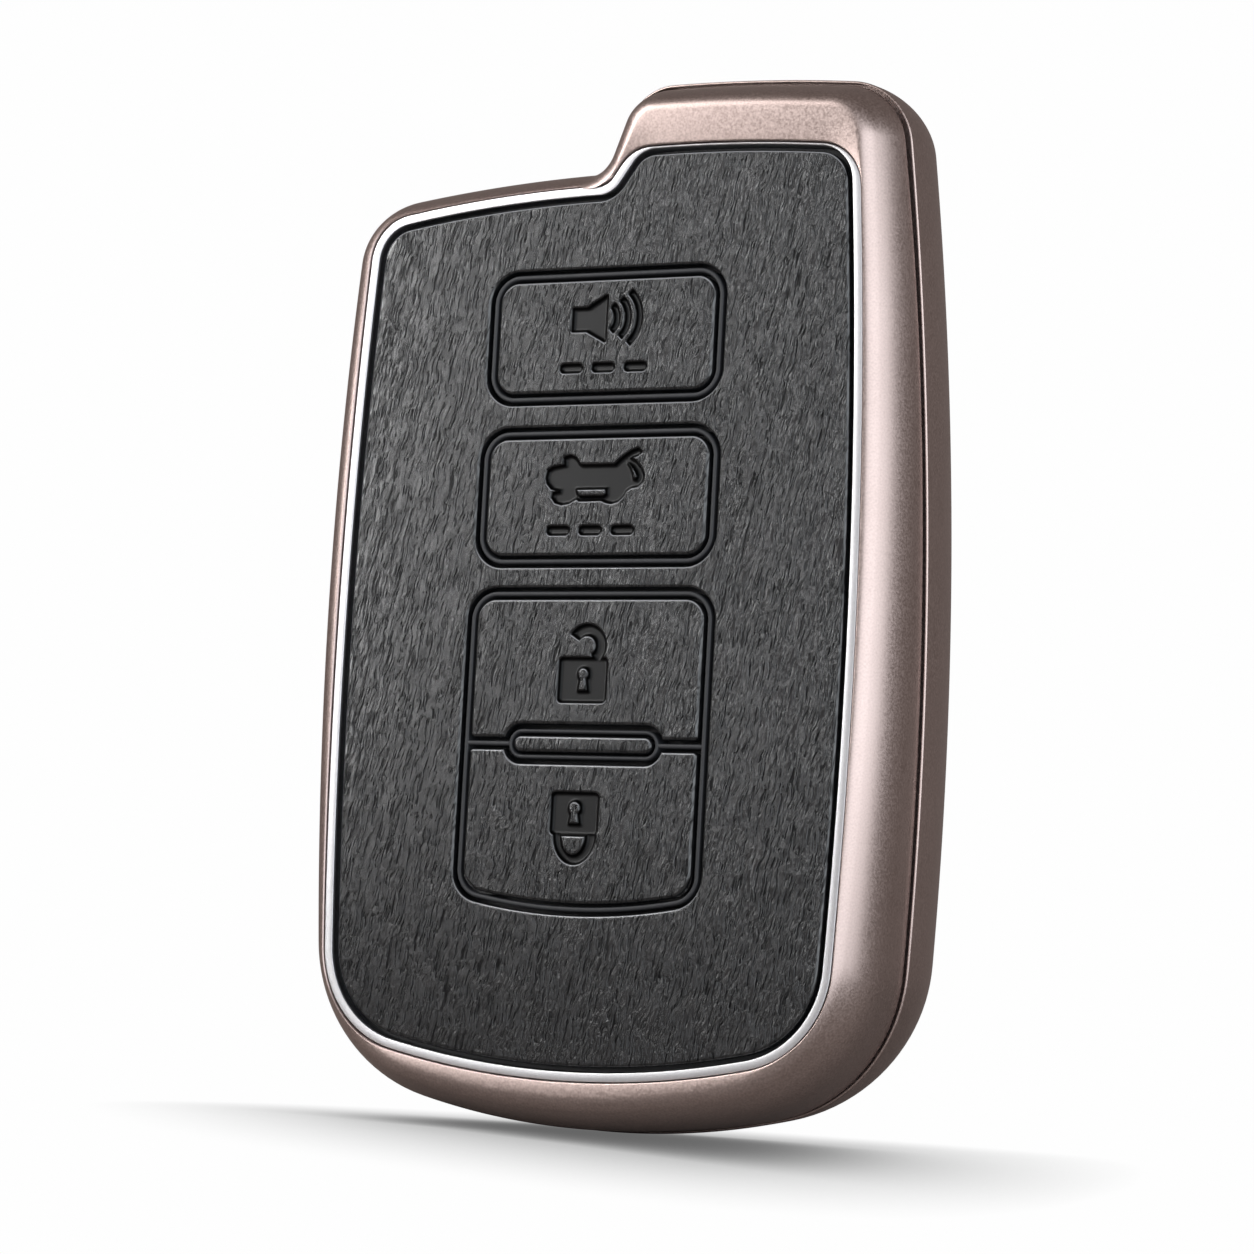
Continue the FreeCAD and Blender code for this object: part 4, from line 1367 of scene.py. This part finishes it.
@dataclass(frozen=True)
class Ridges:
    """Thin rubber ridges that stand in the grooves round the buttons and the bar."""

    gap: float = 0.22
    width: float = 0.36
    bar_gap: float = 0.2
    bar_width: float = 0.3
    top: float = 0.48
    bottom: float = 2.2
    round: float = 0.14
    round_steps: int = 5
    divider_drop: float = 0.02

    def rows(self, loop: Loop, gap: float, width: float) -> Array:
        """Carries a ridge round a loop: wall, quarter round, top, quarter round, wall.

        Args:
            loop: The outline inside the ridge.
            gap: Distance from the outline to the ridge.
            width: Width of the ridge.

        Returns:
            The ridge as a grid of points.
        """
        inset, depth = quarter(self.round, self.round_steps)
        rows = [(loop.inset(-gap), self.bottom)]
        rows += [(loop.inset(-gap - i), self.top + d) for i, d in zip(inset[::-1], depth[::-1])]
        rows += [(loop.inset(-gap - width + i), self.top + d) for i, d in zip(inset, depth)]
        rows.append((loop.inset(-gap - width), self.bottom))
        return section(rows)

    def divider(self, skin: Skin, bar: FingerBar, half_width: float) -> None:
        """Adds two short ridges from the bar's ridge to the outer one, between the two lock buttons.

        Args:
            skin: The skin that takes them.
            bar: The finger bar.
            half_width: Half the width of the lock buttons.
        """
        start = bar.half_length + self.bar_gap + self.bar_width / 2
        end = half_width + self.gap + self.width / 2
        half = self.width / 2
        short = PadOutline(bar.height - half, bar.height + half, (end - start) / 2, self.round).loop()
        for middle in (-(start + end) / 2, (start + end) / 2):
            across = Loop(short.points + (middle, 0.0), short.normals)
            skin.bar(across, self.top + self.divider_drop, self.bottom, self.round, self.round_steps)

    def build(self, openings: Sequence[Loop], bar: FingerBar, half_width: float) -> bpy.types.Object:
        """Gathers all ridges as one piece of the rubber mat.

        Args:
            openings: Outlines of the openings in the leather.
            bar: The finger bar.
            half_width: Half the width of the lock buttons.

        Returns:
            The ridges.
        """
        skin = Skin(Half.FRONT)
        for loop in openings:
            skin.grid(self.rows(loop, self.gap, self.width), tube=True)
        skin.grid(self.rows(bar.outline(), self.bar_gap, self.bar_width), tube=True)
        self.divider(skin, bar, half_width)
        return skin.piece("groove_ridges", RUBBER, slot="tray_plastic")


@dataclass(frozen=True)
class RearShell:
    """Rear half: deeper cast frame with a gap at the notch, leather back panel and a soft pad inside."""

    depth: float = 9.2
    overhang: float = 0.3
    wall: float = 2.2
    flange: float = 1.9
    edge_width: float = 3.6
    edge_depth: float = 8.0
    edge_radius: float = 2.2
    rim_round: float = 0.11
    lip: float = 0.15
    lip_height: float = 0.9
    mouth_round: float = 0.3
    arc_steps: int = 15
    wall_steps: int = 4
    rim_steps: int = 4
    mouth_steps: int = 5
    mouth_inset: float = 0.9
    gap_left: float = -17.0
    gap_right: float = -5.0
    gap_depth: float = 5.2
    gap_corner: float = 1.2
    gap_low: float = 66.2
    gap_fade: float = 5.0
    gap_set_back: float = 0.25
    leather_inset: float = 1.2
    leather_front: float = 8.28
    leather_back: float = 9.08
    leather_round: float = 0.3
    pad_low: float = 14.5
    pad_high: float = 64.0
    pad_half_width: float = 19.5
    pad_corner: float = 3.0
    pad_front: float = 5.8
    pad_back: float = 6.3
    pad_crown: float = 0.12
    pad_shares: tuple[float, ...] = (1.0, 0.995, 0.98, 0.94, 0.86, 0.74, 0.58, 0.4, 0.2, 0.05)

    def rim(self, points: Array) -> Array:
        """Sinks the rim at the notch for the loop gap, with rounded corners, and leaves it elsewhere.

        Args:
            points: Points of the case's outline.

        Returns:
            Depth of the rim at each point.
        """
        x, height = points.T
        side = np.minimum(x - self.gap_left, self.gap_right - x)
        lack = np.clip(self.gap_corner - side, 0, self.gap_corner)
        deep = self.gap_depth - self.gap_corner + np.sqrt(self.gap_corner**2 - lack**2)
        return np.where((side > 0) & (height > self.gap_low), deep, 0.0)

    def proud(self, points: Array) -> Array:
        """Lets the wall stand out past the front half by the overhang, which fades back at the loop gap.

        Args:
            points: Points of the case's outline.

        Returns:
            How far the wall stands out at each point.
        """
        x, height = points.T
        beside = np.maximum(np.maximum(self.gap_left - x, x - self.gap_right), 0) / self.gap_fade
        share = np.where(height > self.gap_low, np.clip(beside, 0, 1) ** 2, 1.0)
        return self.overhang * share - self.gap_set_back * (1 - share)

    def frame(self) -> bpy.types.Object:
        """Carries a tube round the case, as the front one, with a thin lip and a rim sunk at the loop gap.

        Returns:
            The cast frame.
        """
        case, mouth = CASE.loop(), PANEL.loop()
        edge_inset, edge_depth = swept_edge(
            self.edge_width, self.edge_depth, self.edge_radius, self.arc_steps
        )
        rim = self.rim(case.points)
        top = rim + self.rim_round
        back = self.depth - edge_depth[::-1]
        walls = np.linspace(top, np.maximum(top, back[0]), self.wall_steps)
        depth = np.vstack([walls, np.maximum(back[:, None], top)])
        proud = self.proud(case.points)
        inset = np.interp(self.depth - depth, edge_depth, edge_inset) - proud
        at_rim = np.interp(self.depth - rim, edge_depth, edge_inset) - proud
        rim_inset, rim_depth = quarter(self.rim_round, self.rim_steps)
        cut_inset, cut_depth = quarter(self.mouth_round, self.mouth_steps)
        ledge, floor = rim + self.lip_height, self.depth - self.flange
        rows = [(case.inset(at_rim + self.lip), ledge), (case.inset(at_rim + self.lip), rim)]
        rows += [(case.inset(at_rim + i), rim + d) for i, d in zip(rim_depth[::-1], rim_inset[::-1])][:-1]
        rows += [(case.inset(i), d) for i, d in zip(inset, depth)]
        rows += [(mouth.inset(self.mouth_inset - i), self.depth - d) for i, d in zip(cut_inset, cut_depth)]
        rows += [(mouth.inset(self.mouth_inset), floor), (case.inset(self.wall), floor)]
        rows += [(case.inset(self.wall), ledge)]
        skin = Skin(Half.REAR).grid(section(rows), tube=True)
        return skin.piece("rear_frame_cast", PLATING, "rear_frame", "shell_metal")

    def panel(self) -> bpy.types.Object:
        """Spans a flat sheet inside one rounded cut edge.

        Returns:
            The leather back panel.
        """
        skin = Skin(Half.REAR)
        edge = LeatherEdge(self.leather_inset, 1, self.leather_back, self.leather_front, self.leather_round)
        top, bottom = edge.build(skin, PANEL.loop())
        skin.flat([top], self.leather_back).flat([bottom], self.leather_front)
        return skin.piece("rear_leather_panel", LEATHER, "rear_leather", "leather")

    def pad(self) -> bpy.types.Object:
        """Crowns a sheet whose outline shrinks to its middle.

        Row by row the outline is scaled about its middle by s, at the depth front + crown (2 s^8 - 1).

        Returns:
            The foam pad that the fob rests on.
        """
        outline = PadOutline(self.pad_low, self.pad_high, self.pad_half_width, self.pad_corner).loop().points
        middle = np.array([0, (self.pad_low + self.pad_high) / 2])
        share = np.array(self.pad_shares)
        lift = self.pad_front + self.pad_crown * (2 * share**8 - 1)
        rows = [(outline, self.pad_back)]
        rows += [(middle + (outline - middle) * s, d) for s, d in zip(share, lift)]
        skin = Skin(Half.REAR).grid(section(rows))
        skin.flat([outline], self.pad_back).flat([rows[-1][0]], float(lift[-1]))
        pad = skin.piece("rear_foam_pad", FOAM, "rear_liner", "liner_foam")
        return pad


@dataclass(frozen=True)
class Keypad:
    """The column of four buttons with the finger bar and the ridges between them."""

    bar: FingerBar = FingerBar()
    ridges: Ridges = Ridges()
    buttons: tuple[LeatherButton, ...] = (
        LeatherButton(Symbol.ALARM, 55.52, 64.18, 9.28),
        LeatherButton(Symbol.TAILGATE, 43.08, 52.08, 9.45),
        LeatherButton(Symbol.UNLOCK, 29.27, 39.82, 9.72, low_corner=0.35, bar_edge=-1),
        LeatherButton(Symbol.LOCK, 16.92, 28.42, 9.72, high_corner=0.35, bow_radius=46.0, bar_edge=1),
    )

    def openings(self) -> list[Loop]:
        """Outlines the three openings in the leather: two single buttons, and the pair with the bar.

        Returns:
            The outlines.
        """
        alarm, tailgate, unlock, lock = self.buttons
        pair = replace(lock.outline(), high=unlock.high)
        return [outline.loop() for outline in (alarm.outline(), tailgate.outline(), pair)]

    def build(self, groove: float) -> None:
        """Builds the caps, the bar and the ridges.

        Args:
            groove: Width of the grooves round the caps and the bar.
        """
        for button in self.buttons:
            button.build(self.bar, groove)
        self.bar.build()
        self.ridges.build(self.openings(), self.bar, self.buttons[-1].half_width)


# Studio


def direction(azimuth: float, elevation: float) -> Vector:
    """Unit vector from the case, by degrees to the right of its face and degrees up."""
    around, up = math.radians(azimuth), math.radians(elevation)
    return Vector((math.sin(around) * math.cos(up), -math.cos(around) * math.cos(up), math.sin(up)))


@dataclass(frozen=True)
class Softbox:
    """One rectangular soft light that faces the case, its direction in degrees and its sizes in metres."""

    name: str
    azimuth: float
    elevation: float
    width: float
    height: float
    radiance: float
    distance: float = 1.0
    colour: str = "#ffffff"
    gain: ClassVar[float] = 4.0  # watts that give a square metre of lamp one unit of radiance

    def build(self, target: Vector) -> None:
        """Hangs the lamp; its power is the gain times its radiance and area.

        Args:
            target: The point that it faces.
        """
        back = direction(self.azimuth, self.elevation)
        data = bpy.data.lights.new(self.name, "AREA")
        data.shape, data.size, data.size_y = "RECTANGLE", self.width, self.height
        data.energy = self.gain * self.radiance * self.width * self.height
        data.color = to_linear(self.colour)[:3]
        lamp = into_scene(self.name, data)
        lamp.location = target + self.distance * back
        lamp.rotation_euler = back.to_track_quat("Z", "Y").to_euler()


@dataclass(frozen=True)
class Studio:
    """Pale floor, soft lights and the camera at the photograph's angle."""

    azimuth: float = 28.5
    elevation: float = -5.586
    roll: float = 3.159
    distance: float = 300.0
    target: tuple[float, float, float] = (-1.02, -0.725, 38.57)
    image: float = 1254.0
    focal: float = 3900.0
    sensor: float = 36.0
    clip: Pair = (0.01, 50.0)  # metres
    floor_radius: float = 150.0
    floor_steps: int = 60
    floor_crest: float = 2.0
    floor_bend: float = 4.0
    floor_slope: float = 0.12
    shadow_reach: float = 20.0
    shadow_power: float = 1.3
    shadow_samples: int = 24
    shadow_floor: float = 0.13
    bounce_floor: float = 0.45
    card: str = "#a8a29e"
    unlit: str = "#000000"
    surroundings: str = "#756e6b"
    backdrop: str = "#fefefe"
    softboxes: tuple[Softbox, ...] = (
        Softbox("front_left", -41.0, 21.5, 0.03, 0.2, 11.8, distance=0.24),
        Softbox("overhead", -40.0, 38.0, 0.6, 0.24, 2.0),
        Softbox("right_front", 53.0, 4.0, 2.1, 1.0, 1.84, colour="#f0f8ff"),
    )

    def camera(self) -> None:
        """Camera placed by azimuth, elevation, roll and distance from its target."""
        back, roll = direction(self.azimuth, self.elevation), math.radians(self.roll)
        right = (-back).cross(Vector((0, 0, 1))).normalized()
        above = right.cross(-back)
        data = bpy.data.cameras.new("photograph")
        data.sensor_width = self.sensor
        data.lens = self.sensor * self.focal / self.image
        data.clip_start, data.clip_end = self.clip
        camera = into_scene("photograph", data)
        across = right * math.cos(roll) + above * math.sin(roll)
        upward = above * math.cos(roll) - right * math.sin(roll)
        turn = Matrix((across, upward, back)).transposed()
        place = (Vector(self.target) + self.distance * back) * MM
        camera.matrix_world = Matrix.Translation(place) @ turn.to_4x4()
        bpy.context.scene.camera = camera

    def white_card(self) -> bpy.types.Material:
        """Makes the card glow evenly to the camera, with a painted soft shadow where the case hides the sky.

        The glow is the open share of the sky above each point, raised to a power; everything else sees
        grey card whose colour is darkened alike by the same painted shade.

        Returns:
            The floor's material.
        """
        card = bpy.data.materials.new("matt_white_card")
        tree = bare_tree(card)
        seen = add(tree, "LightPath").outputs["Is Camera Ray"]
        sky = add(tree, "AmbientOcclusion", {
            "Distance": self.shadow_reach * MM
        }, samples=self.shadow_samples)
        shade = add(tree, "Math", {0: sky.outputs["AO"], 1: self.shadow_power}, operation="POWER")
        # Painted shadow: the glow and the card's colour fall with the hidden share of the sky.
        light, bounce = (
            add(tree, "MapRange", {"Value": shade, "To Min": darkest})
            for darkest in (self.shadow_floor, self.bounce_floor)
        )
        grey = add(tree, "Mix", {"Factor": bounce, "A": self.unlit, "B": self.card}, data_type="RGBA")
        matt = add(tree, "BsdfDiffuse", {"Color": grey})
        glow = add(tree, "Emission", {"Color": self.backdrop, "Strength": light})
        add(tree, "OutputMaterial", {"Surface": add(tree, "MixShader", {"Fac": seen, 1: matt, 2: glow})})
        return card

    def floor(self) -> None:
        """White sweep, level under and behind the case, that falls away towards the camera.

        At a reach v in front of the case the height is -slope (v + sqrt(v^2 + bend^2)) / 2.
        """
        around = math.radians(self.azimuth)
        reach = np.linspace(-self.floor_radius, self.floor_radius, self.floor_steps)
        ahead = reach - self.floor_crest
        height = -self.floor_slope * (ahead + np.hypot(ahead, self.floor_bend)) / 2
        side = np.array([-self.floor_radius, self.floor_radius])[:, None]
        x = side * math.cos(around) + reach * math.sin(around)
        y = side * math.sin(around) - reach * math.cos(around)
        corners = np.stack([x, y, np.broadcast_to(height, x.shape)], -1).reshape(-1, 3) * MM
        start = np.arange(self.floor_steps - 1)
        strips = np.stack([start, start + self.floor_steps, start + self.floor_steps + 1, start + 1], 1)
        mesh = bpy.data.meshes.new("floor")
        mesh.from_pydata(corners.tolist(), [], strips[:, ::-1].tolist())
        mesh.shade_smooth()
        mesh.materials.append(self.white_card())
        floor = into_scene("floor", mesh)

    def world(self) -> None:
        """White backdrop for the camera, dim surroundings for everything else."""
        world = bpy.data.worlds.new("studio")
        bpy.context.scene.world = world
        tree = bare_tree(world)
        seen = add(tree, "LightPath").outputs["Is Camera Ray"]
        colour = add(tree, "Mix", {
            "Factor": seen, "A": self.surroundings, "B": self.backdrop
        }, data_type="RGBA")
        add(tree, "OutputWorld", {"Surface": add(tree, "Background", {"Color": colour})})

    def build(self) -> None:
        """Floor, surroundings, softboxes and camera."""
        self.floor()
        self.world()
        for softbox in self.softboxes:
            softbox.build(Vector(self.target) * MM)
        self.camera()
        bpy.context.scene.view_settings.view_transform = "Standard"


def dress_frame() -> None:
    """Gives each CAD node that stays in view its finish."""
    for name, finish in CAD_FINISHES.items():
        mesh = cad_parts[name].data
        mesh.materials.clear()
        mesh.materials.append(finish.material())
        log.info("%s: CAD node in %s", name, finish.name)


def main() -> None:
    """Builds every sub-assembly, then the studio."""
    logging.basicConfig(level=logging.INFO, format="%(message)s")
    dress_frame()
    front, rear, keypad, studio = FrontShell(), RearShell(), Keypad(), Studio()
    front.frame()
    front.strip()
    front.panel(keypad.openings())
    keypad.build(front.groove)
    rear.frame()
    rear.panel()
    rear.pad()
    studio.build()


if __name__ == "__main__":
    main()
